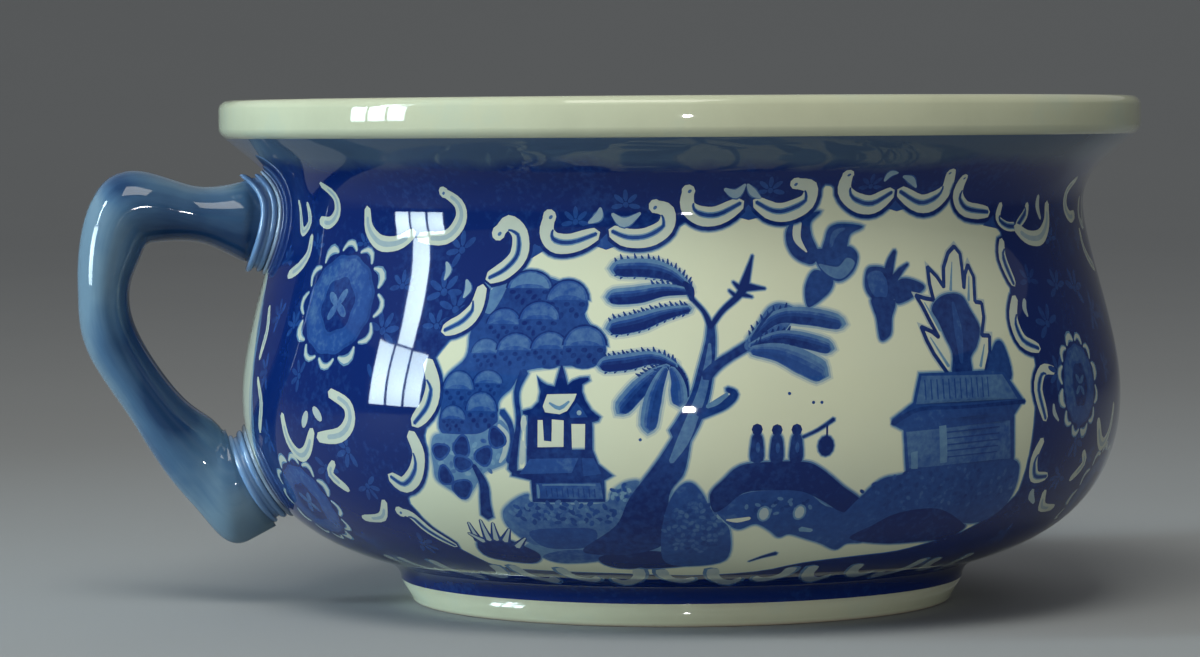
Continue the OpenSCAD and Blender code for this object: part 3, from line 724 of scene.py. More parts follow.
def birds(art):
    """The pair of birds."""
    art.blob(0.85, [(14.0, 45.6), (13.2, 41.6), (15.2, 38.0), (19.4, 36.4), (21.2, 39.2), (19.8, 43.2),
                    (19.8, 46.4), (22.4, 48.8), (18.8, 48.2)])
    art.line(0.1, [(16.4, 46.4), (16.0, 42.6), (18.2, 39.4)], (2.0, 2.0, 0.4))
    art.blob(0.81, [(19.8, 35.0), (17.2, 31.4), (17.0, 27.0), (18.4, 26.4), (23.4, 30.0), (24.2, 33.4)])
    art.blob(0.82, [(20.0, 39.4), (21.8, 34.4), (25.8, 32.2), (29.8, 34.4), (31.6, 38.0), (30.4, 40.2),
                    (27.8, 40.6), (23.4, 40.2)])
    art.blob(0.55, [(21.0, 36.4), (23.2, 33.8), (26.4, 32.8), (29.2, 34.6), (30.6, 36.8), (28.6, 37.8),
                    (26.2, 35.8), (23.6, 36.0)], bleed=0.0)
    art.line(0.75, [(23.2, 36.8), (25.8, 37.0), (28.6, 38.6)], (0.8, 1.4, 0.8))
    art.blob(0.82, [(22.4, 39.2), (23.2, 42.2), (24.6, 45.0), (28.0, 46.0), (33.8, 45.2), (30.2, 43.4),
                    (28.8, 40.2), (26.4, 38.0)])
    art.line(0.65, [(24.6, 40.6), (26.0, 43.6), (28.8, 44.8)], (0.8, 1.4, 0.5))
    art.blob(0.82, [(33.6, 34.8), (32.6, 30.6), (34.6, 27.6), (39.2, 27.0), (41.8, 30.8), (39.6, 34.6),
                    (36.2, 35.6)])
    art.blob(0.63, [(34.0, 34.0), (33.6, 31.0), (35.2, 28.2), (38.0, 28.2), (38.8, 31.6), (37.4, 34.4)],
             bleed=0.0)
    art.blob(0.84, [(40.8, 31.2), (44.4, 32.6), (49.4, 30.6), (46.0, 28.2), (40.6, 26.6)])
    art.line(0.84, [(39.2, 33.2), (40.6, 36.6), (42.2, 39.2)], (2.6, 2.0, 0.8), bleed=0.6)
    art.line(0.84, [(40.6, 32.2), (43.0, 34.4), (45.4, 36.0)], (2.0, 1.4, 0.5), bleed=0.6)
    art.blob(0.82, [(34.0, 28.0), (34.6, 23.2), (35.0, 18.0), (37.8, 19.2), (38.8, 23.2), (40.2, 27.4)])


def flame_tree(art):
    """The tree of white flames with dark edges behind the house, round its dark heart."""
    edge = [(52.4, 9.6), (49.2, 14.2), (47.6, 17.6), (46.6, 20.8), (49.4, 19.6), (51.2, 18.2),
            (49.4, 22.0), (47.8, 25.8), (46.4, 28.4), (49.0, 27.6), (51.4, 27.2), (51.0, 31.0),
            (51.2, 35.2), (53.6, 32.8), (55.2, 30.2), (56.2, 35.0), (58.4, 38.4), (60.8, 40.0),
            (62.4, 38.2), (62.2, 34.6), (61.6, 29.8), (62.8, 33.2), (64.4, 35.4), (65.6, 32.4),
            (64.4, 26.4), (66.6, 26.0), (66.4, 22.6), (64.6, 18.2), (67.2, 18.0), (66.4, 14.0),
            (64.0, 9.0)]
    art.fill(0.2, grown(np.array(edge[::-1]), 1.0))
    art.fill(0.06, edge)
    for a, b in zip(edge, edge[1:]):
        art.line(0.9, [a, b], (1.1, 1.1), 1)
    art.blob(0.88, [(50.4, 25.0), (53.0, 27.6), (57.0, 28.6), (60.6, 27.8), (62.4, 24.4), (64.4, 20.0),
                    (62.4, 15.6), (60.0, 13.0), (59.6, 8.6), (54.0, 8.8), (54.6, 14.0), (53.0, 18.4),
                    (51.8, 21.8)])
    art.line(0.7, [(57.2, 26.4), (57.4, 19.6), (57.0, 12.0)], (0.8, 2.4, 1.0))
    for root, tip in (((53.0, 11.2), (48.8, 18.2)), ((52.0, 19.8), (48.6, 26.6)),
                      ((57.2, 29.4), (59.2, 36.2)), ((62.4, 26.8), (64.0, 32.6)),
                      ((62.8, 10.8), (65.0, 16.0))):
        art.line(0.4, [root, tip], (0.9, 0.3), 1)
    art.blob(0.8, [(64.6, 7.8), (66.0, 12.6), (69.2, 16.6), (71.8, 15.2), (72.6, 7.4)])


def far_house(art):
    """The house on the right, its hill and the dark rock."""
    art.fill(0.75, [(44.4, 9.8), (64.6, 9.8), (70.4, 9.0), (76.4, 2.2), (73.0, -1.2), (74.6, -13.0),
                    (41.2, -13.6), (39.6, -3.4), (36.8, -2.0), (36.6, -0.6), (42.2, 3.0)], 0.7)
    art.fill(0.59, [(45.0, 9.2), (69.6, 8.6), (74.2, 2.6), (43.0, 2.6)])
    art.fill(0.61, [(40.4, -3.8), (71.6, -2.4), (73.2, -11.8), (42.0, -12.6)])
    roof, front = (45.8, 3.6), (46.0, -7.4)
    for k in range(12):
        s, v = roof[0] + 1.7 * k, roof[1]
        art.line(0.74, [(s, v), (s, v + 4.6)], (0.35, 0.35), 1)
    for k in range(7):
        height = front[1] - 3.0 + 1.5 * k
        art.line(0.75, [(front[0] + 4.5, height), (front[0] + 22.0, height + 0.6)], (0.35, 0.35), 1)
    art.fill(0.49, [(42.0, -8.8), (43.8, -8.4), (44.4, -12.8), (42.6, -12.8)])
    art.fill(0.49, [(49.4, -2.8), (51.4, -2.6), (52.6, -11.6), (50.6, -11.8)])
    art.line(0.88, [(36.8, -1.6), (44.0, 1.4), (55.4, 1.4), (76.8, 1.8)], (1.4, 1.0, 0.8, 1.0), bleed=0.4)
    art.blob(0.72, [(29.8, -20.0), (34.6, -15.2), (40.2, -14.0), (47.8, -12.6), (60.4, -12.0),
                    (74.6, -12.2), (78.0, -16.8), (77.8, -24.6), (72.8, -29.2), (65.2, -29.4),
                    (56.4, -26.0), (43.4, -25.8), (38.4, -27.6), (33.8, -30.8), (24.8, -30.2),
                    (20.8, -27.0), (26.4, -24.2)])
    art.stipple((0.64, 0.8, 0.68), (54.0, -18.4), 24.0, 5.8, 110, 0.8)
    art.blob(0.99, [(31.0, -32.4), (35.8, -28.2), (40.8, -25.0), (47.4, -23.8), (55.0, -24.4),
                    (64.6, -29.2), (67.0, -31.6), (63.2, -35.0), (54.2, -35.4), (42.4, -35.2)])


def scroll_border(art):
    """The scrolls round the scene, from the left corner over the top and down both sides."""
    for centre, size, turn in (((-69.6, 25.6), 5.0, 60), ((-73.6, 29.8), 5.0, 100),
                               ((-74.4, 21.6), 4.0, 80), ((-70.0, 40.0), 4.6, 140),
                               ((-39.6, 46.8), 3.6, 90), ((-26.8, 50.8), 3.6, 90),
                               ((9.2, 54.0), 3.6, 90), ((35.6, 54.8), 3.4, 90)):
        spray(art, centre, size, turn)
    for points in ([(-34.6, 41.2), (-31.6, 44.0), (-28.6, 41.2), (-31.6, 40.2)], [(0.8, 47.8),
                                                                                  (3.8, 50.6),
                                                                                  (7.4, 47.8),
                                                                                  (3.8, 47.0)],
                   [(40.8, 49.4), (43.6, 52.2), (47.4, 49.4), (43.8, 48.6)],
                   [(72.2, 44.8), (77.4, 47.6), (79.6, 43.6)], [(-53.0, 38.6), (-50.0, 41.6),
                                                                (-47.0, 40.2), (-50.4, 38.2)]):
        art.fill(0.72, points)
    scroll(art, [(-60.0, 44.2), (-57.4, 46.6), (-54.2, 44.0), (-54.0, 39.0), (-57.2, 35.4),
                 (-61.4, 33.4)], 4.8, 1.9)
    scroll(art, [(-46.4, 48.0), (-47.0, 44.6), (-44.8, 42.0), (-40.2, 41.8), (-34.2, 44.0)], 4.9, 1.8)
    scroll(art, [(-19.4, 50.4), (-16.4, 49.2), (-17.0, 45.6), (-21.2, 43.2), (-26.2, 43.0),
                 (-30.2, 44.6)], 4.7, 1.7)
    scroll(art, [(-11.2, 54.0), (-11.4, 50.4), (-8.4, 48.2), (-3.8, 48.2), (1.8, 51.0)], 4.7, 1.7)
    scroll(art, [(15.6, 55.8), (19.4, 54.8), (18.8, 51.2), (14.0, 49.0), (10.0, 49.0), (5.8, 51.2)],
           4.6, 1.6)
    scroll(art, [(28.6, 58.0), (28.6, 53.8), (32.0, 51.0), (36.8, 50.4), (42.0, 53.2)], 4.7, 1.6)
    scroll(art, [(58.4, 58.2), (59.0, 54.0), (55.6, 51.2), (50.6, 50.4), (44.4, 53.4)], 4.6, 1.4)
    scroll(art, [(63.6, 56.6), (63.2, 52.2), (66.4, 48.8), (74.6, 48.0)], 4.0, 1.2)
    scroll(art, [(80.0, 49.8), (78.6, 46.4), (82.0, 44.4), (87.4, 44.4)], 2.4, 0.0)
    scroll(art, [(92.2, 49.6), (91.0, 47.2), (86.4, 44.4)], 2.4, 0.0)
    art.line(0.15, [(97.8, 51.4), (97.6, 49.0), (98.8, 46.0)], (1.4, 2.0, 1.0))
    scroll(art, [(78.8, 41.0), (77.8, 36.6), (80.0, 30.2)], 3.0)
    scroll(art, [(79.2, 26.8), (77.0, 21.8), (78.8, 16.4), (84.8, 14.2)], 3.6)
    art.line(0.2, [(83.0, 26.2), (82.2, 24.2), (82.8, 22.2)], (1.2, 1.6, 0.6))
    scroll(art, [(89.8, 8.6), (85.0, 8.8), (82.4, 4.2), (85.2, -2.8)], 3.4)
    art.line(0.2, [(88.6, 0.4), (89.0, -1.6), (91.0, -3.6)], (0.8, 1.4, 0.6))
    scroll(art, [(84.6, -8.0), (82.6, -12.4), (84.8, -17.2), (90.4, -17.6)], 3.2)
    art.line(0.25, [(86.4, -21.2), (87.4, -23.0), (90.6, -25.2)], (1.6, 2.0, 0.8))
    scroll(art, [(-63.0, 31.0), (-64.0, 26.2), (-67.0, 22.8), (-72.0, 20.6)], 4.4)
    scroll(art, [(-75.6, 13.0), (-73.6, 7.8), (-74.6, 2.6), (-78.6, -1.6)], 4.6)
    scroll(art, [(-79.8, -4.2), (-78.0, -8.8), (-80.0, -14.0), (-84.2, -17.0), (-87.8, -15.0)], 4.4)
    scroll(art, [(-88.8, -24.8), (-85.6, -25.8), (-82.6, -30.6), (-77.4, -36.0)], 3.2, 1.6)
    for way, wide in (([(-33.2, 50.0), (-33.8, 48.0), (-36.2, 46.6)], 1.8),
                      ([(-30.2, 48.6), (-27.2, 46.6), (-23.2, 48.8)], 2.0),
                      ([(-2.2, 54.4), (0.6, 53.2), (2.8, 55.6)], 2.0),
                      ([(3.4, 55.6), (4.8, 53.6), (6.8, 52.2)], 1.6),
                      ([(39.2, 56.2), (40.2, 58.2), (42.2, 58.4)], 1.6),
                      ([(44.2, 57.4), (46.8, 56.4), (49.0, 54.4)], 1.6),
                      ([(-67.6, 32.8), (-66.8, 30.8), (-67.8, 28.6)], 1.6),
                      ([(-74.2, 37.0), (-73.2, 35.2), (-74.0, 32.8)], 1.4)):
        art.line(0.62, way, (0.8, wide + 0.9, 0.7))
        art.line(0.3, way, (0.4 * wide, wide + 0.2, 0.3 * wide))


def side_ornament(art, middle, by_handle):
    """Medallions, scrolls and sprays on the dark ground between the scenes, mirrored about the middle."""
    for side in (-1, 1):
        def at(s, v):
            return (middle + side * s, v)
        for s, v, size, turn in ((82, 20, 5.0, 60), (86, 31, 4.0, 90), (81, 8, 4.4, 20),
                                 (72, -9, 4.6, 200), (62, -14, 4.6, 250), (76, -18, 4.0, 300),
                                 (52, 8, 4.0, 160), (45, 20, 4.0, 120), (60, -38, 4.6, 20),
                                 (48, 40, 3.6, 60), (30, 36, 4.0, 90), (34, 22, 4.4, 150),
                                 (32, 8, 4.6, 190), (34, -8, 4.4, 200), (30, -20, 4.0, 240),
                                 (24, -38, 4.4, 270), (12, 44, 4.0, 90), (10, -42, 4.6, 270),
                                 (84, -36, 4.6, 330), (70, 41, 3.4, 80)):
            spray(art, at(s, v), size, turn if side > 0 else 180 - turn)
        if by_handle:
            medallion(art, at(63.5, 26.0), 16.2, 14.6, side * 14)
            scroll(art, [at(97.0, 53.8), at(101.0, 51.0), at(101.5, 47.0), at(97.5, 43.0), at(89.0, 43.0)],
                   3.7, 1.5, False)
            scroll(art, [at(66.0, 4.5), at(72.5, 2.0), at(73.5, -2.0), at(69.5, -5.5), at(61.0, -6.5)],
                   3.9, 0.0, False)
            art.oval(0.18, at(55.5, -2.4), 2.4, 1.2, side * 60)
            art.oval(0.18, at(61.0, -0.8), 2.4, 1.2, side * -40)
        else:
            for s, v, size, turn in ((62, 28, 5.4, 120), (73, 29, 4.6, 70), (53, 22, 5.0, 200)):
                spray(art, at(s, v), size, turn if side > 0 else 180 - turn)
            medallion(art, at(70.5, 4.5), 10.0, 11.8)
        medallion(art, at(45.0, -25.0), 14.0, 12.5, side * 10)
        scroll(art, [at(50.5, 55.5), at(55.5, 52.5), at(56.0, 48.5), at(52.5, 46.0), at(47.5, 46.5)],
               3.2, 0.0, False)
        scroll(art, [at(43.5, 42.5), at(43.5, 38.0), at(39.5, 34.5), at(33.5, 32.5)], 3.2, 0.0, False)
        scroll(art, [at(33.0, 51.0), at(35.0, 46.0), at(37.5, 43.5), at(41.0, 46.0), at(39.0, 50.5)],
               2.4, 0.0, False)
        scroll(art, [at(69.5, 49.5), at(70.5, 45.0), at(75.5, 41.5), at(82.0, 41.5), at(87.0, 44.0)],
               3.9, 0.0, False)
        scroll(art, [at(44.0, -2.0), at(46.0, -8.0), at(50.5, -11.5), at(55.0, -10.0), at(58.5, -5.0)],
               3.4, 0.0, False)
        scroll(art, [at(65.5, -12.5), at(63.0, -15.7), at(68.0, -19.5)], 2.7, 0.0, False)
        scroll(art, [at(80.0, -22.0), at(76.0, -27.0), at(68.0, -28.0)], 2.7, 0.0, False)
        scroll(art, [at(24.0, 24.0), at(27.0, 18.0), at(25.0, 11.0)], 2.7, 0.0, False)
        scroll(art, [at(26.0, 6.0), at(30.0, 0.0), at(27.0, -7.0)], 2.7, 0.0, False)


def far_side_ornament(art, middle):
    """The tall medallion and upright scrolls that fill the side away from the handle."""
    medallion(art, (middle, 8.0), 13.0, 20.0)
    for side in (-1, 1):
        scroll(art, [(middle + side * 18, 34), (middle + side * 22, 26), (middle + side * 19, 17)],
               3.2, 0.0, False)
        scroll(art, [(middle + side * 19, 0), (middle + side * 22, -9), (middle + side * 17, -18)],
               3.2, 0.0, False)
        scroll(art, [(middle + side * 3, 48), (middle + side * 9, 42), (middle + side * 17, 42),
                     (middle + side * 22, 48)], 3.7, 1.4, False)
        spray(art, (middle + side * 12, -34), 5.0, 270 + side * 30)


def foot_border(art):
    """The curls that hang from the scenes' lower edge round the foot."""
    count = 46
    step = GIRTH / count
    curl = np.array(((-0.42, 0.1), (-0.38, -0.35), (-0.12, -0.75), (0.2, -0.9), (0.42, -0.6),
                     (0.36, -0.35), (0.2, -0.52), (0.0, -0.45), (-0.14, -0.2), (-0.18, 0.1)))
    for k in range(count):
        s = SEAM + (k + 0.5) * step
        bend = 1 if k % 3 else -1
        tall = 12.0 + 3.0 * (k % 2)
        art.blob(0.5, curl * (1.1 * bend * step, 1.05 * tall) + (s, -46.6), 2, 0.0)
        art.blob(0.18, curl * (0.92 * bend * step, 0.95 * tall) + (s, -47.0), 2, 0.0)


def bare_strip(art):
    """The strip behind the handle that the print doesn't reach."""
    for ink, half in ((0.5, 22.0), (0.2, 20.0), (0.08, 18.0)):
        edge = [(half * (1 - 0.035 * (k - 4) ** 2) + 0.8 * math.sin(1.7 * k + half), -27.0 + 7.5 * k)
                for k in range(9)]
        outline = edge + [(-s, v) for s, v in reversed(edge)]
        for turn in (0, 1):
            art.blob(ink, [(SEAM + turn * GIRTH + s, v) for s, v in outline], 3, 0.0)


def willow_print():
    """The whole print: a scene on the front and back, with ornament between them."""
    art = Print()
    scenery_field(art)
    clumped_tree(art)
    tea_house(art)
    mound_and_rocks(art)
    willow(art)
    bridge(art)
    birds(art)
    flame_tree(art)
    far_house(art)
    scroll_border(art)
    art.repeat(BACK)
    for middle in (SEAM, -SEAM, SEAM + GIRTH):
        side_ornament(art, middle, middle != -SEAM)
    far_side_ornament(art, -SEAM)
    foot_border(art)
    bare_strip(art)
    return art.shapes


# Meshes

def finished(name, mesh, material, node_names):
    """Puts a finished mesh in the scene as a piece that stands for its frame nodes."""
    piece = bpy.data.objects.new(name, mesh)
    bpy.context.scene.collection.objects.link(piece)
    if not mesh.materials:
        mesh.materials.append(material)
    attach(piece, BODY)
    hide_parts(*node_names)
    return piece


def sheet_rows(wall):
    """Heights of the sheet's rows, closer in the cove and under the rim, where the wall turns fast."""
    cove, belly, flare = (wall.v[0], -56.0), (-53.0, 48.0), (50.0, wall.v[-1])
    return np.concatenate((np.linspace(*cove, 15), np.linspace(*belly, 32), np.linspace(*flare, 14)))


def printed_sheet(wall):
    """The print cut into triangles on the unrolled wall, with the strength of blue of each."""
    rows = sheet_rows(wall)
    columns = SEAM + np.arange(AROUND + 1) * GIRTH / AROUND
    count = len(rows)
    points = [Vector((s, v)) for s in columns for v in rows]
    edges = []
    for i in range(AROUND):
        edges += [(i * count, (i + 1) * count), ((i + 1) * count - 1, (i + 2) * count - 1)]
    half_strip = AROUND // (2 * BAKE_STRIPS)
    cuts = [0, AROUND] + [half_strip * (2 * k + 1) for k in range(BAKE_STRIPS)]
    for i in cuts:
        edges += [(i * count + j, i * count + j + 1) for j in range(count - 1)]
    shapes = willow_print()
    faces = []
    for outline, _, _ in shapes:
        faces.append(list(range(len(points), len(points) + len(outline))))
        points += [Vector(p) for p in outline]
    every_triangle = 0
    cut = delaunay_2d_cdt(points, edges, faces, every_triangle, SAME_POINT, True)
    places, _, cut_faces, _, _, covers = cut
    flat = np.array([tuple(p) for p in places])
    triangles, blue = [], []
    for face, sources in zip(cut_faces, covers):
        middle = flat[face].mean(0)
        if SEAM < middle[0] < SEAM + GIRTH and rows[0] < middle[1] < rows[-1]:
            triangles.append(face)
            level = DARK
            for source in sorted(sources):
                _, ink, rule = shapes[source]
                level = rule(level, ink) if rule else ink
            blue.append(level)
    return flat, triangles, blue


def welded(flat, triangles):
    """Joins the sheet's two ends, and drops points that no triangle uses."""
    at_end = np.abs(flat[:, 0] - SEAM - GIRTH) < SAME_EDGE
    at_start = {round(v, 2): i for i, (s, v) in enumerate(flat) if abs(s - SEAM) < SAME_EDGE}
    target = np.arange(len(flat))
    for i in np.flatnonzero(at_end):
        target[i] = at_start[round(flat[i, 1], 2)]
    joined = target[np.array(triangles)]
    used, faces = np.unique(joined, return_inverse=True)
    return flat[used], faces.reshape(-1, 3)


def bowl_mesh(pot):
    """The printed wall, closed by the inside, the floor and the underside."""
    wall = Wall(pot)
    flat, triangles, blue = printed_sheet(wall)
    sheet, faces = welded(flat, triangles)
    points, normals = wall.place(sheet[:, 0], sheet[:, 1])
    points, normals = list(points), list(normals)
    faces = [tuple(f) for f in faces]
    step = GIRTH / AROUND
    turns = (SEAM + np.arange(AROUND) * step) / PRINT_RADIUS

    def edge_row(v):
        """The sheet's points along one of its long edges, in order."""
        on_edge = np.flatnonzero(np.abs(sheet[:, 1] - v) < SAME_EDGE / 2)
        row = {round((sheet[i, 0] - SEAM) / step): i for i in on_edge}
        if sorted(row) != list(range(AROUND)):
            raise RuntimeError("the sheet's edge has lost or gained points")
        return [row[k] for k in range(AROUND)]

    def ring(r, z, normal):
        """A ring of new points."""
        start = len(points)
        points.extend((r * math.sin(t), -r * math.cos(t), z) for t in turns)
        normals.extend((normal[0] * math.sin(t), -normal[0] * math.cos(t), normal[1]) for t in turns)
        return list(range(start, start + AROUND))

    inside_way = directions(wall.inner)
    rings = [edge_row(wall.v[-1])]
    rings += [ring(r, z, (way[1], -way[0])) for (r, z), way in zip(wall.inner, inside_way)]
    rings += [ring(share * wall.inner[-1, 0], wall.floor_z, (0, 1)) for share in (0.66, 0.33)]
    base_r, base_z = wall.outer[0]
    under = [ring(share * base_r, base_z, (0, -1)) for share in (0.3, 0.65, 0.93)] + [edge_row(wall.v[0])]
    maps = []
    wall_faces = len(faces)

    def bands(rows, low, high):
        """Joins rings into bands of faces, with their place on the unrolled map."""
        for j, (a, b) in enumerate(zip(rows, rows[1:])):
            y0, y1 = (low + (high - low) * (j + k) / (len(rows) - 1) for k in (0, 1))
            for i in range(AROUND):
                n = (i + 1) % AROUND
                faces.append((a[i], a[n], b[n], b[i]))
                x0, x1 = i / AROUND, (i + 1) / AROUND
                maps.append(((x0, y0), (x1, y0), (x1, y1), (x0, y1)))

    def cap(row, z, up, low, high):
        """Closes a ring at the axis."""
        centre = len(points)
        points.append((0, 0, z))
        normals.append((0, 0, up))
        for i in range(AROUND):
            n = (i + 1) % AROUND
            faces.append((row[i], row[n], centre) if up > 0 else (row[n], row[i], centre))
            x0, x1 = i / AROUND, (i + 1) / AROUND
            corners = ((x0, low), (x1, low), ((x0 + x1) / 2, high))
            maps.append(corners if up > 0 else (corners[1], corners[0], corners[2]))

    bands(rings, *INSIDE_MAP)
    cap(rings[-1], wall.floor_z, 1, *FLOOR_MAP)
    bands(under, *UNDERSIDE_MAP)
    cap(under[0], base_z, -1, *BASE_MAP)

    mesh = bpy.data.meshes.new("bowl")
    mesh.from_pydata([Vector(p) * MM for p in points], [], faces)
    ink = mesh.attributes.new("ink", "FLOAT", "FACE")
    ink.data.foreach_set("value", np.array(blue + [BARE] * (len(faces) - wall_faces), np.float32))
    corners = bake_map(wall, sheet, faces[:wall_faces], maps)
    mesh.uv_layers.new(name="OFBake").data.foreach_set("uv", corners)
    mesh.polygons.foreach_set("use_smooth", np.ones(len(faces), bool))
    mesh.normals_split_custom_set_from_vertices([Vector(n).normalized() for n in normals])
    mesh.update()
    return mesh


def bake_map(wall, sheet, wall_faces, maps):
    """Map of the bowl: four strips of the outer wall in two rows, with the inside above them."""
    low, high = wall.v[0], wall.v[-1]
    columns = BAKE_STRIPS // STRIP_ROWS
    wide, tall = 1 / columns, WALL_MAP_TOP / STRIP_ROWS
    corners = sheet[np.array(wall_faces)]
    turn = corners[:, :, 0] / GIRTH
    turn = np.where(turn - turn.min(1, keepdims=True) > 0.5, turn - 1, turn)
    half_strip = 1 / (2 * BAKE_STRIPS)
    strip = np.floor((turn.mean(1) + half_strip) * BAKE_STRIPS)
    along = (turn + half_strip) * BAKE_STRIPS - strip[:, None]
    up = (corners[:, :, 1] - low) / (high - low)
    cell = strip.astype(int) % BAKE_STRIPS
    x = (cell % columns)[:, None] * wide + MAP_BORDER + along * (wide - 2 * MAP_BORDER)
    y = (cell // columns)[:, None] * tall + MAP_BORDER + up * (tall - 2 * MAP_BORDER)
    outer = np.stack((x, y), 2).reshape(-1)
    rest = np.array([value for face in maps for corner in face for value in corner])
    return np.concatenate((outer, rest)).astype(np.float32)


def turned_ring_tree():
    """A node tree that turns a ring's outline round the pot's axis."""
    tree = bpy.data.node_groups.new("turned_ring", "GeometryNodeTree")
    sockets = tree.interface
    sockets.new_socket("Outline", in_out="INPUT", socket_type="NodeSocketGeometry")
    sockets.new_socket("Turning Radius", in_out="INPUT", socket_type="NodeSocketFloat")
    sockets.new_socket("Steps Around", in_out="INPUT", socket_type="NodeSocketInt")
    sockets.new_socket("Glaze", in_out="INPUT", socket_type="NodeSocketMaterial")
    sockets.new_socket("Ring", in_out="OUTPUT", socket_type="NodeSocketGeometry")
    nodes, links = tree.nodes, tree.links
    given, made = nodes.new("NodeGroupInput"), nodes.new("NodeGroupOutput")
    outline = nodes.new("GeometryNodeMeshToCurve")
    circle = nodes.new("GeometryNodeCurvePrimitiveCircle")
    upright = nodes.new("GeometryNodeSetCurveNormal")
    upright.mode = "Z_UP"
    turned = nodes.new("GeometryNodeCurveToMesh")
    shaded = nodes.new("GeometryNodeSetShadeSmooth")
    real = nodes.new("GeometryNodeRealizeInstances")
    glazed = nodes.new("GeometryNodeSetMaterial")
    links.new(given.outputs["Outline"], outline.inputs["Mesh"])
    links.new(given.outputs["Turning Radius"], circle.inputs["Radius"])
    links.new(given.outputs["Steps Around"], circle.inputs["Resolution"])
    links.new(circle.outputs["Curve"], upright.inputs["Curve"])
    links.new(upright.outputs["Curve"], turned.inputs["Curve"])
    links.new(outline.outputs["Curve"], turned.inputs["Profile Curve"])
    links.new(turned.outputs["Mesh"], shaded.inputs["Geometry"])
    links.new(shaded.outputs["Geometry"], real.inputs["Geometry"])
    links.new(real.outputs["Geometry"], glazed.inputs["Geometry"])
    links.new(given.outputs["Glaze"], glazed.inputs["Material"])
    links.new(glazed.outputs["Geometry"], made.inputs["Ring"])
    return tree


def turned_ring(name, outline, steps, material):
    """A ring turned from a closed outline of radius and height, as a plain mesh."""
    radius = float(np.mean(outline[:, 0]))
    flat = [((r - radius) * MM, -z * MM, 0) for r, z in reversed(outline.tolist())]
    sketch = bpy.data.meshes.new(name + "_outline")
    sketch.from_pydata(flat, [(i, (i + 1) % len(flat)) for i in range(len(flat))], [])
    holder = bpy.data.objects.new(name + "_outline", sketch)
    bpy.context.scene.collection.objects.link(holder)
    tree = bpy.data.node_groups.get("turned_ring") or turned_ring_tree()
    modifier = holder.modifiers.new("turned_ring", "NODES")
    modifier.node_group = tree
    names = {item.name: item.identifier for item in tree.interface.items_tree if item.in_out == "INPUT"}
    modifier[names["Turning Radius"]] = radius * MM
    modifier[names["Steps Around"]] = steps
    modifier[names["Glaze"]] = material
    graph = bpy.context.evaluated_depsgraph_get()
    graph.update()
    mesh = bpy.data.meshes.new_from_object(holder.evaluated_get(graph), depsgraph=graph)
    mesh.name = name
    holder.modifiers.remove(modifier)
    bpy.data.objects.remove(holder)
    bpy.data.meshes.remove(sketch)
    return mesh


def rim_outline(pot, wall):
    """The rolled rim's outline: a lip below, rounded edges, and a face crowned by a few degrees."""
    crown = 8
    edge = pot.rim_edge_radius / MM
    top = pot.overall_height / MM - edge
    overhang = pot.rim_overhang / MM
    under = min(edge, overhang / (1 - math.sin(pot.flare_slope)))
    rise = ((overhang - under * (1 - math.sin(pot.flare_slope))) * math.tan(pot.flare_slope)
            + under * math.cos(pot.flare_slope))
    joint_z = wall.rim_joint[1]
    return np.vstack(([(wall.rim_inner_r, joint_z), tuple(wall.rim_joint)],
                      arc((wall.rim_r - under, joint_z + rise), under,
                          math.degrees(pot.flare_slope) - 90, -crown),
                      [(wall.rim_r, (joint_z + rise + top) / 2)],
                      arc((wall.rim_r - edge, top), edge, crown, 90),
                      arc((wall.rim_inner_r + edge, top), edge, 90, 180)))


def foot_outline(pot):
    """The foot ring's outline, with rounded lower edges."""
    outer, edge = pot.foot_diameter / 2 / MM, pot.foot_edge_radius / MM
    inner = outer - pot.foot_width / MM
    top, base_r = pot.foot_height / MM, pot.base_diameter / 2 / MM
    return np.vstack((arc((outer - edge, edge), edge, -90, 0), [(base_r, top), (inner, top)],
                      arc((inner + edge, edge), edge, 180, 270)))


def lofted(rings):
    """Points and faces of a skin through rings of equal count, closed at both ends."""
    count = len(rings[0])
    last = (len(rings) - 1) * count
    first_centre, last_centre = last + count, last + count + 1
    points = np.vstack(rings + [rings[0].mean(0), rings[-1].mean(0)])
    faces = []
    for start in range(0, last, count):
        for i in range(count):
            n = (i + 1) % count
            faces.append((start + i, start + n, start + count + n, start + count + i))
    for i in range(count):
        n = (i + 1) % count
        faces.append((n, i, first_centre))
        faces.append((last + i, last + n, last_centre))
    return points, faces


def skin_mesh(name, rings):
    """A smooth closed mesh through rings of points, facing outwards."""
    points, faces = lofted(rings)
    mesh = bpy.data.meshes.new(name)
    mesh.from_pydata([Vector(p) * MM for p in points], [], faces)
    mesh.polygons.foreach_set("use_smooth", np.ones(len(faces), bool))
    mesh.update()
    volume = sum(p.center.dot(p.normal) * p.area for p in mesh.polygons)
    if volume < 0:
        mesh.flip_normals()
    return mesh


def note_on_points(mesh, name, values):
    """Keeps a number for each point of a mesh, for its glaze to read."""
    mesh.attributes.new(name, "FLOAT", "POINT").data.foreach_set("value", np.asarray(values, np.float32))


# How much darker the blue glaze is made at even steps down the handle, and on its collars
HANDLE_DARKENING = (0.14, 0.17, 0.21, 0.13, 0.0, -0.06, -0.02, 0.06, 0.12, 0.12, -0.02, -0.10, -0.04)
COLLAR_DARKENING = 0.18

# Darker patches on the handle: share of the way down it, place across it from the inside of the loop
# at -1 to the outside at 1, half length as a share of the handle, and depth, with one half width for all
HANDLE_DARK_PATCHES = ((0.26, 0.8, 0.035, 0.34), (0.73, -0.3, 0.05, 0.34), (0.62, -0.6, 0.10, 0.14))
PATCH_HALF_WIDTH = 0.5

# Faces round the handle and between its stations, how far it sinks into a collar, and how far its first
# free ring stands clear of one, in millimetres
HANDLE_SIDES = 48
HANDLE_STEPS = 14
COLLAR_EMBED = 0.1
COLLAR_CLEARANCE = 0.25

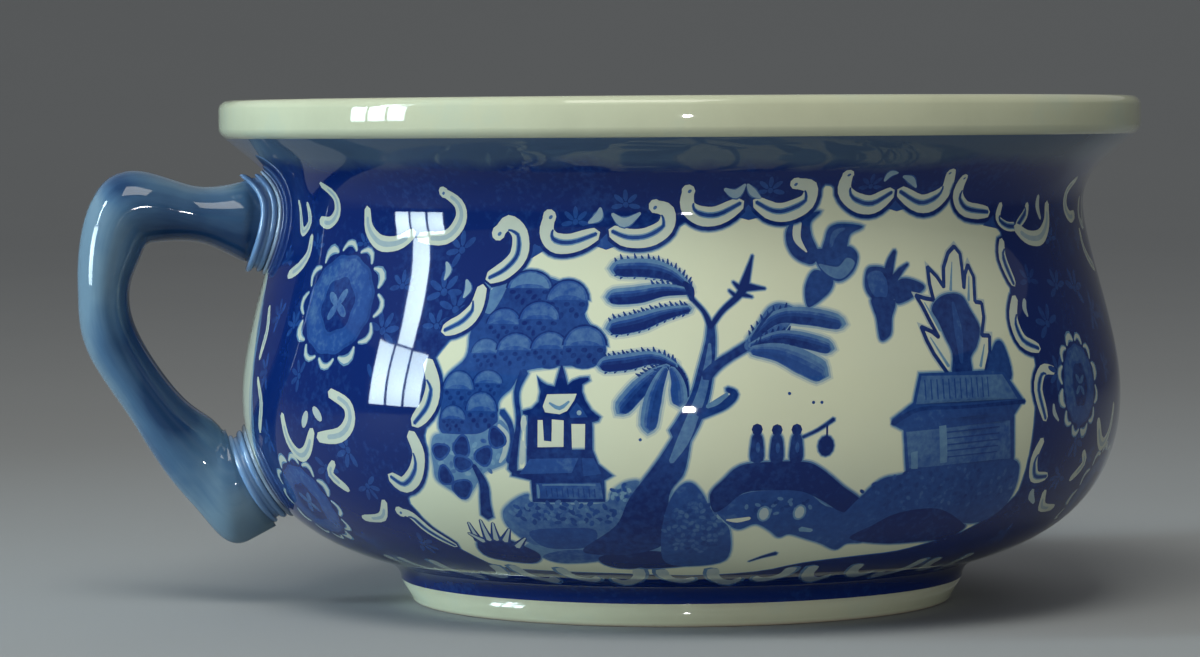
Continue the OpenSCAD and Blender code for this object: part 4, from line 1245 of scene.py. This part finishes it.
Joint = namedtuple("Joint", "radius height lean axis")
Station = namedtuple("Station", "out up lean thickness width")


def handle_joints(wall, handle):
    """Places and axes of the handle's two joints."""
    joints = []
    for height, follows in ((wall.neck_z - handle.upper_joint_drop / MM, False),
                            (handle.lower_joint_height / MM, True)):
        radius, facing = wall.at_height(height)
        lean = facing if follows else 0.0
        joints.append(Joint(radius, height, lean, np.array((-math.cos(lean), 0, -math.sin(lean)))))
    return joints


def handle_stations(wall, handle):
    """Cross sections down the handle, from the upper joint to the lower one."""
    upper, lower = handle_joints(wall, handle)
    back = wall.neck_r + handle.reach / MM
    wide = handle.width / MM
    end = (handle.collar_diameter - 2 * handle.collar_step) / MM
    stand = stand_off(handle)
    grip = handle.grip_thickness / MM
    grip_up = upper.height - handle.grip_drop / MM
    return [
        Station(upper.radius, upper.height, 0, end, end),
        Station(upper.radius + stand, upper.height, 0, end, end),
        Station(upper.radius + 19.0, upper.height + 2.2, 0, 14.3, wide),
        Station(back - 16.8, upper.height + 4.4, 21, 19.4, wide),
        Station(back - 10.2, upper.height - 0.4, 47, 18.0, wide),
        Station(back - grip / 2, grip_up, 92, grip, wide),
        Station(back - 8.8, grip_up - 14.0, 107, 13.8, wide),
        Station(lower.radius + 25.2, lower.height + 16.0, 124, 14.2, wide),
        Station(lower.radius + 14.4, lower.height + 3.2, 164, 21.8, wide),
        Station(lower.radius + 8.0, lower.height - 2.8, 187, 29.6, end),
        Station(lower.radius, lower.height, 180 + math.degrees(lower.lean), end, end)]


def stand_off(handle):
    """How far the outer face of a collar stands off the wall, in millimetres."""
    return (handle.luting_thickness + 2 * handle.collar_bead + handle.collar_groove) / MM


def handle_mesh(pot, handle):
    """The loop handle, ending on its two collars."""
    wall = Wall(pot)
    upper, lower = handle_joints(wall, handle)
    run = smooth(handle_stations(wall, handle), HANDLE_STEPS)
    a = np.linspace(0, 2 * math.pi, HANDLE_SIDES, endpoint=False)
    rings = []
    for out, up, lean, thickness, width in run:
        across = thickness / 2 * np.cos(a)
        lean = math.radians(lean)
        rings.append(np.column_stack((-out - across * math.sin(lean), width / 2 * np.sin(a),
                                      up + across * math.cos(lean))))
    stand = stand_off(handle)
    clear = [i for i, ring in enumerate(rings) if wall.gaps(ring).min() > stand + COLLAR_CLEARANCE]
    first, last = clear[0], clear[-1]
    seat = stand - COLLAR_EMBED
    rings = ([wall.reach(rings[first], upper.axis, seat)] + rings[first:last + 1]
             + [wall.reach(rings[last], lower.axis, seat)])
    mesh = skin_mesh("handle", rings)
    middles = np.array([ring.mean(0) for ring in rings])
    along = np.concatenate(([0], np.cumsum(np.linalg.norm(np.diff(middles, axis=0), axis=1))))
    share = np.append(np.repeat(along, len(a)), (along[0], along[-1]))
    back = np.append(np.tile(np.cos(a), len(rings)), (0, 0))
    darkening = np.interp(np.linspace(0, 1, len(rings)), np.linspace(0, 1, len(HANDLE_DARKENING)),
                        HANDLE_DARKENING)
    darkness = np.append(np.repeat(darkening, len(a)), (darkening[0], darkening[-1]))
    for down, across, size, depth in HANDLE_DARK_PATCHES:
        darkness += depth * np.exp(-((share / along[-1] - down) / size) ** 2
                               - ((back - across) / PATCH_HALF_WIDTH) ** 2)
    note_on_points(mesh, "along", share * MM)
    note_on_points(mesh, "back", back)
    note_on_points(mesh, "darkness", darkness)
    return mesh


def fitted_rings(wall, joint, outline, sides=72):
    """Rings round a joint's axis that follow the wall, from an outline of radius and gap."""
    across = np.array((0, 1, 0))
    upward = np.cross(joint.axis, across)
    a = np.linspace(0, 2 * math.pi, sides, endpoint=False)
    spokes = np.outer(np.cos(a), across) + np.outer(np.sin(a), upward)
    origin = np.array((-joint.radius, 0, joint.height))
    return [wall.reach(origin + radius * spokes, joint.axis, gap) for radius, gap in outline]


def collar_mesh(name, pot, handle, which):
    """A double ring collar that follows the wall round one of the handle's joints."""
    wall = Wall(pot)
    joint = handle_joints(wall, handle)[which]
    radius = handle.collar_diameter / 2 / MM
    bead, groove = handle.collar_bead / MM, handle.collar_groove / MM
    low = handle.luting_thickness / MM
    depth = handle.collar_groove_depth / MM
    waist = radius - depth
    outline = [(1.0, low), (0.6 * radius, low)]
    for start in (low, low + bead + groove):
        round_edge = arc((0, 0), 1, -90, 90, 8) * (depth, bead / 2) + (waist, start + bead / 2)
        outline += [tuple(p) for p in round_edge]
    top = low + 2 * bead + groove
    outline += [(0.6 * radius, top), (1.0, top)]
    mesh = skin_mesh(name, fitted_rings(wall, joint, outline))
    note_on_points(mesh, "darkness", np.full(len(mesh.vertices), COLLAR_DARKENING))
    return mesh


def luting_mesh(name, pot, handle, which):
    """The bed of slip between a collar and the wall, with a softly squeezed edge."""
    wall = Wall(pot)
    joint = handle_joints(wall, handle)[which]
    thick = handle.luting_thickness / MM
    radius = (handle.collar_diameter / 2 + handle.luting_margin) / MM
    edge = arc((0, 0), 1, 0, 90, 5) * (thick, thick) + (radius - thick, 0)
    outline = [(1.0, 0.0), (0.7 * radius, 0.0)]
    outline += [tuple(p) for p in edge]
    outline += [(0.7 * radius, thick), (1.0, thick)]
    return skin_mesh(name, fitted_rings(wall, joint, outline))


# Glazes

def blank_material(name):
    """A material with only a shader and an output."""
    material = bpy.data.materials.new(name)
    material.use_nodes = True
    tree = material.node_tree
    tree.nodes.clear()
    shader = tree.nodes.new("ShaderNodeBsdfPrincipled")
    output = tree.nodes.new("ShaderNodeOutputMaterial")
    tree.links.new(shader.outputs["BSDF"], output.inputs["Surface"])
    return material, tree, shader


def value_of(tree, kind, sockets, output=0, **settings):
    """A node with its settings and inputs, and the output that is wanted of it."""
    made = tree.nodes.new(kind)
    for name, value in settings.items():
        setattr(made, name, value)
    for name, value in sockets.items():
        if isinstance(value, bpy.types.NodeSocket):
            tree.links.new(value, made.inputs[name])
        else:
            made.inputs[name].default_value = value
    return made.outputs[output]


def math_of(tree, operation, first, second, clamp=False):
    """One sum of two values or sockets."""
    return value_of(tree, "ShaderNodeMath", {0: first, 1: second}, operation=operation, use_clamp=clamp)


def place_of(tree):
    """The place on the piece, in metres."""
    return value_of(tree, "ShaderNodeTexCoord", {}, "Object")


def noise_of(tree, vector, scale, detail=3.0, roughness=0.55):
    """Soft cloudy noise from nought to one."""
    return value_of(tree, "ShaderNodeTexNoise", {"Vector": vector, "Scale": scale, "Detail": detail,
                                                 "Roughness": roughness}, "Fac")


def attribute_of(tree, name):
    """A number kept on the mesh."""
    return value_of(tree, "ShaderNodeAttribute", {}, "Fac", attribute_name=name)


def axis_of(tree, place, axis):
    """One coordinate of a place."""
    return value_of(tree, "ShaderNodeSeparateXYZ", {"Vector": place}, axis)


def times(tree, first, second):
    """The product of two values or sockets."""
    return math_of(tree, "MULTIPLY", first, second)


def laid_over(tree, share, under, over):
    """A colour laid over another one by a share."""
    return value_of(tree, "ShaderNodeMix", {0: share, 6: under, 7: (*over, 1.0)}, 2, data_type="RGBA")


def ramp_of(tree, factor, stops):
    """A colour ramp of places and colours."""
    ramp = tree.nodes.new("ShaderNodeValToRGB")
    tree.links.new(factor, ramp.inputs["Fac"])
    elements = ramp.color_ramp.elements
    while len(elements) < len(stops):
        elements.new(0.5)
    for element, (at, tone) in zip(elements, stops):
        element.position = at
        element.color = (*tone, 1.0)
    return ramp.outputs["Color"]


def glassy(shader, tree, ripple):
    """Gives a shader the wet gloss and faint ripple of a lead glaze."""
    for socket, value in (("Roughness", 0.4), ("Specular IOR Level", 0.0), ("Coat Weight", 1.0),
                          ("Coat Roughness", 0.035), ("Coat IOR", 1.38)):
        shader.inputs[socket].default_value = value
    bump = value_of(tree, "ShaderNodeBump", {"Strength": 0.25, "Distance": 0.0006, "Height": ripple},
                    "Normal")
    for socket in ("Normal", "Coat Normal"):
        tree.links.new(bump, shader.inputs[socket])


def printed_glaze(tones):
    """Blue underglaze print on the white ware, cloudy in thick ink, with a grey band up the neck that is
    partly a thin wash and partly a painted reflection of the rim.
    """
    material, tree, shader = blank_material("printed_glaze")
    at = place_of(tree)
    ink = attribute_of(tree, "ink")
    cloud_share, mean_patch, wear, staining = 1.2, 1.1, 0.42, 0.05
    cloud = noise_of(tree, at, scale=48.0, detail=4.0)
    grain = noise_of(tree, at, scale=620.0, detail=2.0)
    patchy = math_of(tree, "ADD", times(tree, cloud, cloud_share), grain)
    drift = math_of(tree, "SUBTRACT", patchy, mean_patch)
    worn = times(tree, times(tree, drift, ink), wear)
    stain = times(tree, noise_of(tree, at, scale=26.0, detail=5.0, roughness=0.65), staining)
    strength = math_of(tree, "ADD", math_of(tree, "ADD", ink, worn), stain, clamp=True)
    tone = ramp_of(tree, strength, ((BARE, tones.bare), (PALE, tones.pale), (LIGHT, tones.light),
                                    (MID, tones.mid), (DARK, tones.dark)))
    # Up the neck under the rim the dark print turns grey-blue: partly a thin wash, partly a painted
    # reflection of the rim
    wash_and_reflection_starts, wash_and_reflection_full, wash_and_reflection_share, wash_and_reflection_drips = 0.1135, 0.1165, 0.8, 0.006
    ragged = math_of(tree, "ADD", axis_of(tree, at, "Z"), times(tree, cloud, wash_and_reflection_drips))
    washed_and_reflected = value_of(tree, "ShaderNodeMapRange", {"Value": ragged, "From Min": wash_and_reflection_starts,
                                                   "From Max": wash_and_reflection_full, "To Max": wash_and_reflection_share})
    outside = math_of(tree, "GREATER_THAN", ink, 0.5)
    wash_and_reflection = times(tree, washed_and_reflected, outside)
    tree.links.new(laid_over(tree, wash_and_reflection, tone, tones.neck_wash_and_reflection), shader.inputs["Base Color"])
    glassy(shader, tree, noise_of(tree, at, scale=24.0, detail=2.0))
    return material


def cream_glaze(tones):
    """Plain white glaze of the rim and the foot, with faint stains, and bare clay where the foot rests."""
    material, tree, shader = blank_material("cream_glaze")
    at = place_of(tree)
    glaze_starts, bare_below = 0.0009, 0.0002
    bared = value_of(tree, "ShaderNodeMapRange", {"Value": axis_of(tree, at, "Z"), "From Min": glaze_starts,
                                                  "From Max": bare_below})
    stain = noise_of(tree, at, scale=34.0, detail=6.0, roughness=0.65)
    bare = tuple(0.9 * c for c in tones.bare)
    warm = tuple(0.93 * c for c in bare)
    cool = (0.90 * bare[0], 0.97 * bare[1], 1.06 * bare[2])
    tone = ramp_of(tree, stain, ((0.30, warm), (0.52, bare), (0.72, cool)))
    tree.links.new(laid_over(tree, bared, tone, tones.biscuit), shader.inputs["Base Color"])
    glassy(shader, tree, noise_of(tree, at, scale=30.0, detail=2.0))
    return material


def blue_glaze(tones):
    """Brushed blue of the handle, streaked along it and cloudy, darker at some listed places along it and
    lighter at others, with painted light on the loop's outer side and painted shade on its inner side.
    """
    material, tree, shader = blank_material("blue_glaze")
    at = place_of(tree)
    along = attribute_of(tree, "along")
    back = attribute_of(tree, "back")
    side = axis_of(tree, at, "Y")
    fine_along, fine_across, fine_round = 18.0, 130.0, 1.2
    streak_share, pool_share, side_shading = 0.45, 0.5, 0.21
    lane = value_of(tree, "ShaderNodeCombineXYZ", {"X": times(tree, along, fine_along),
                                                   "Y": times(tree, side, fine_across),
                                                   "Z": times(tree, back, fine_round)})
    streak = noise_of(tree, lane, scale=1.0, detail=5.0, roughness=0.6)
    pool = noise_of(tree, at, scale=42.0)
    mottle = math_of(tree, "ADD", times(tree, streak, streak_share), times(tree, pool, pool_share))
    depth = math_of(tree, "ADD", mottle, attribute_of(tree, "darkness"))
    # The loop's outer side is painted lighter and its inner side painted darker: painted light and painted
    # shade
    side_shaded = math_of(tree, "SUBTRACT", depth, times(tree, back, side_shading), clamp=True)
    tone = ramp_of(tree, side_shaded, ((0.32, tones.handle_light), (0.52, tones.handle_mid),
                                   (0.74, tones.handle_dark)))
    tree.links.new(tone, shader.inputs["Base Color"])
    glassy(shader, tree, noise_of(tree, at, scale=40.0))
    return material


def slip_finish(tones):
    """The slip of the joints, under a thin glaze."""
    material, tree, shader = blank_material("slip")
    at = place_of(tree)
    stain = noise_of(tree, at, scale=160.0, detail=4.0)
    thick = tuple(0.7 * c for c in tones.slip)
    thin = tuple(1.25 * c for c in tones.slip)
    tone = ramp_of(tree, stain, ((0.3, thick), (0.7, thin)))
    tree.links.new(tone, shader.inputs["Base Color"])
    glassy(shader, tree, noise_of(tree, at, scale=300.0, detail=2.0))
    return material


# Stage

# Panes of the window: turn from its middle in degrees, height of the pane's middle, and its two sizes
Pane = namedtuple("Pane", "turn height width tall")
WINDOW_PANES = (Pane(0, 0.59, 0.12, 0.30), Pane(0, 0.80, 0.22, 0.11), Pane(-5.7, 0.245, 0.112, 0.35),
                Pane(0, 0.245, 0.112, 0.35), Pane(5.7, 0.245, 0.112, 0.35))


def panel_light(name, turn, distance, height, width, tall, power, tint=(1.0, 1.0, 1.0), spread=180):
    """A light panel round the pot that faces it, with its turn and the spread of its beam in degrees."""
    turn = math.radians(turn)
    data = bpy.data.lights.new(name, "AREA")
    data.shape = "RECTANGLE"
    data.size = width
    data.size_y = tall
    data.energy = power
    data.color = tint
    data.spread = math.radians(spread)
    lamp = bpy.data.objects.new(name, data)
    lamp.location = (distance * math.sin(turn), -distance * math.cos(turn), height)
    lamp.rotation_euler = (Vector((0, 0, LAMP_AIM)) - lamp.location).to_track_quat("-Z", "Y").to_euler()
    bpy.context.scene.collection.objects.link(lamp)


def set_lights(stage):
    """The window's panes at the side, a small panel by the camera and a broad one above."""
    area = sum(pane.width * pane.tall for pane in WINDOW_PANES)
    for k, pane in enumerate(WINDOW_PANES):
        panel_light("window_%d" % (k + 1), turn=math.degrees(stage.window_turn) + pane.turn,
                    distance=stage.window_distance, height=pane.height, width=pane.width, tall=pane.tall,
                    power=stage.window_power * pane.width * pane.tall / area, tint=stage.window_colour,
                    spread=50)
    panel_light("front", turn=-5, distance=1.5, height=0.115, width=0.06, tall=0.06,
                power=stage.front_power, spread=15)
    panel_light("fill", turn=-20, distance=1.0, height=1.60, width=0.9, tall=0.9,
                power=stage.fill_power, tint=stage.fill_colour)


def set_sky(scene, stage):
    """Even light from all round."""
    scene.world = bpy.data.worlds.new("soft_room")
    scene.world.use_nodes = True
    sky = scene.world.node_tree.nodes["Background"]
    sky.inputs["Color"].default_value = (1.0, 1.0, 1.0, 1.0)
    sky.inputs["Strength"].default_value = stage.sky_strength


def set_camera(scene, stage):
    """The camera, turned round the pot and then aimed."""
    data = bpy.data.cameras.new("camera")
    data.lens = stage.camera_lens
    data.clip_start = 0.01
    camera = bpy.data.objects.new("camera", data)
    turn = stage.camera_turn
    camera.location = (stage.camera_distance * math.sin(turn), -stage.camera_distance * math.cos(turn),
                       stage.camera_height)
    look = Euler((math.pi / 2 - stage.camera_pitch, 0, turn + stage.camera_yaw)).to_matrix()
    roll = Euler((0, 0, stage.camera_roll)).to_matrix()
    camera.rotation_euler = (look @ roll).to_euler()
    scene.collection.objects.link(camera)
    scene.camera = camera


def floor_sheet(stage):
    """A wide plain floor, flat round the pot, that rises softly far from it on all sides."""
    rings, sides = 40, 96
    reach, flat, rise, crowding = 7.0, 3.2, 0.13, 1.5
    turns = [2 * math.pi * i / sides for i in range(sides)]
    points = [(0, 0, 0)]
    for j in range(1, rings + 1):
        r = reach * (j / rings) ** crowding
        z = rise * max(r - flat, 0) ** 2
        points += [(r * math.cos(turn), r * math.sin(turn), z) for turn in turns]
    faces = [(0, 1 + i, 1 + (i + 1) % sides) for i in range(sides)]
    for j in range(rings - 1):
        a, b = 1 + j * sides, 1 + (j + 1) * sides
        faces += [(a + i, b + i, b + (i + 1) % sides, a + (i + 1) % sides) for i in range(sides)]
    mesh = bpy.data.meshes.new("floor")
    mesh.from_pydata(points, [], faces)
    mesh.polygons.foreach_set("use_smooth", np.ones(len(faces), bool))
    material, tree, shader = blank_material("plain_floor")
    cloud = noise_of(tree, place_of(tree), scale=3.0)
    shade = tuple(0.98 * c for c in stage.floor_colour)
    tone = ramp_of(tree, cloud, ((0.3, shade), (0.7, stage.floor_colour)))
    tree.links.new(tone, shader.inputs["Base Color"])
    shader.inputs["Roughness"].default_value = 0.8
    shader.inputs["Specular IOR Level"].default_value = 0.2
    mesh.materials.append(material)
    floor = bpy.data.objects.new("floor", mesh)
    bpy.context.scene.collection.objects.link(floor)
    return floor


# Operators

class POT_OT_bowl(bpy.types.Operator):
    """Throw the bowl and lay the print on its wall"""

    bl_idname = "pot.bowl"
    bl_label = "Bowl"

    def execute(self, context):
        glaze = printed_glaze(context.scene.pot_colours)
        finished("bowl_printed", bowl_mesh(context.scene.pot_sizes), glaze, ["bowl"])
        return {"FINISHED"}


class POT_OT_rings(bpy.types.Operator):
    """Turn the rolled rim and the foot ring"""

    bl_idname = "pot.rings"
    bl_label = "Rim and foot ring"

    def execute(self, context):
        pot = context.scene.pot_sizes
        glaze = cream_glaze(context.scene.pot_colours)
        rim, foot = rim_outline(pot, Wall(pot)), foot_outline(pot)
        for name, node, outline in (("rim_glazed", "rim_roll", rim), ("foot_glazed", "foot_ring", foot)):
            finished(name, turned_ring(name, outline, pot.turning_steps, glaze), glaze, [node])
        return {"FINISHED"}


class POT_OT_handle(bpy.types.Operator):
    """Pull the loop handle"""

    bl_idname = "pot.handle"
    bl_label = "Handle"

    def execute(self, context):
        glaze = blue_glaze(context.scene.pot_colours)
        mesh = handle_mesh(context.scene.pot_sizes, context.scene.pot_handle)
        finished("handle_glazed", mesh, glaze, ["handle"])
        return {"FINISHED"}


class POT_OT_joints(bpy.types.Operator):
    """Fit the double ring collars and their beds of slip"""

    bl_idname = "pot.joints"
    bl_label = "Collars and luting"

    def execute(self, context):
        scene = context.scene
        glaze = bpy.data.materials["blue_glaze"]
        slip = slip_finish(scene.pot_colours)
        for which, place in enumerate(("upper", "lower")):
            collar = collar_mesh(place + "_collar_glazed", scene.pot_sizes, scene.pot_handle, which)
            finished(collar.name, collar, glaze, [place + "_collar"])
            bed = luting_mesh(place + "_luting_glazed", scene.pot_sizes, scene.pot_handle, which)
            finished(bed.name, bed, slip, [place + "_luting"])
        return {"FINISHED"}


class POT_OT_stage(bpy.types.Operator):
    """Set the floor, the lights and the camera"""

    bl_idname = "pot.stage"
    bl_label = "Stage"

    def execute(self, context):
        scene = context.scene
        stage = scene.pot_stage
        floor_sheet(stage)
        set_lights(stage)
        set_sky(scene, stage)
        set_camera(scene, stage)
        scene.view_settings.view_transform = "Standard"
        return {"FINISHED"}


class POT_PT_panel(bpy.types.Panel):
    """Buttons and sizes of the chamber pot"""

    bl_idname = "POT_PT_panel"
    bl_label = "Chamber Pot"
    bl_space_type = "VIEW_3D"
    bl_region_type = "UI"
    bl_category = "Chamber Pot"

    def draw(self, context):
        for operator in OPERATORS:
            self.layout.operator(operator.bl_idname)
        for group in GROUPS:
            box = self.layout.box()
            for name in GROUPS[group].__annotations__:
                box.prop(getattr(context.scene, group), name)


GROUPS = {"pot_sizes": PotSizes, "pot_handle": HandleSizes, "pot_colours": GlazeColours,
          "pot_stage": StageSettings}
OPERATORS = (POT_OT_bowl, POT_OT_rings, POT_OT_handle, POT_OT_joints, POT_OT_stage)


def register():
    """Makes the settings, the operators and the panel known."""
    for group in GROUPS.values():
        bpy.utils.register_class(group)
    for operator in OPERATORS:
        bpy.utils.register_class(operator)
    bpy.utils.register_class(POT_PT_panel)
    for name, group in GROUPS.items():
        setattr(bpy.types.Scene, name, PointerProperty(type=group))


def unregister():
    """Takes them away again."""
    for name in GROUPS:
        delattr(bpy.types.Scene, name)
    bpy.utils.unregister_class(POT_PT_panel)
    for operator in reversed(OPERATORS):
        bpy.utils.unregister_class(operator)
    for group in reversed(list(GROUPS.values())):
        bpy.utils.unregister_class(group)


def main():
    """Builds the pot and its stage."""
    register()
    bpy.ops.pot.bowl()
    bpy.ops.pot.rings()
    bpy.ops.pot.handle()
    bpy.ops.pot.joints()
    bpy.ops.pot.stage()
    bpy.context.view_layer.update()


if __name__ == "__main__":
    main()
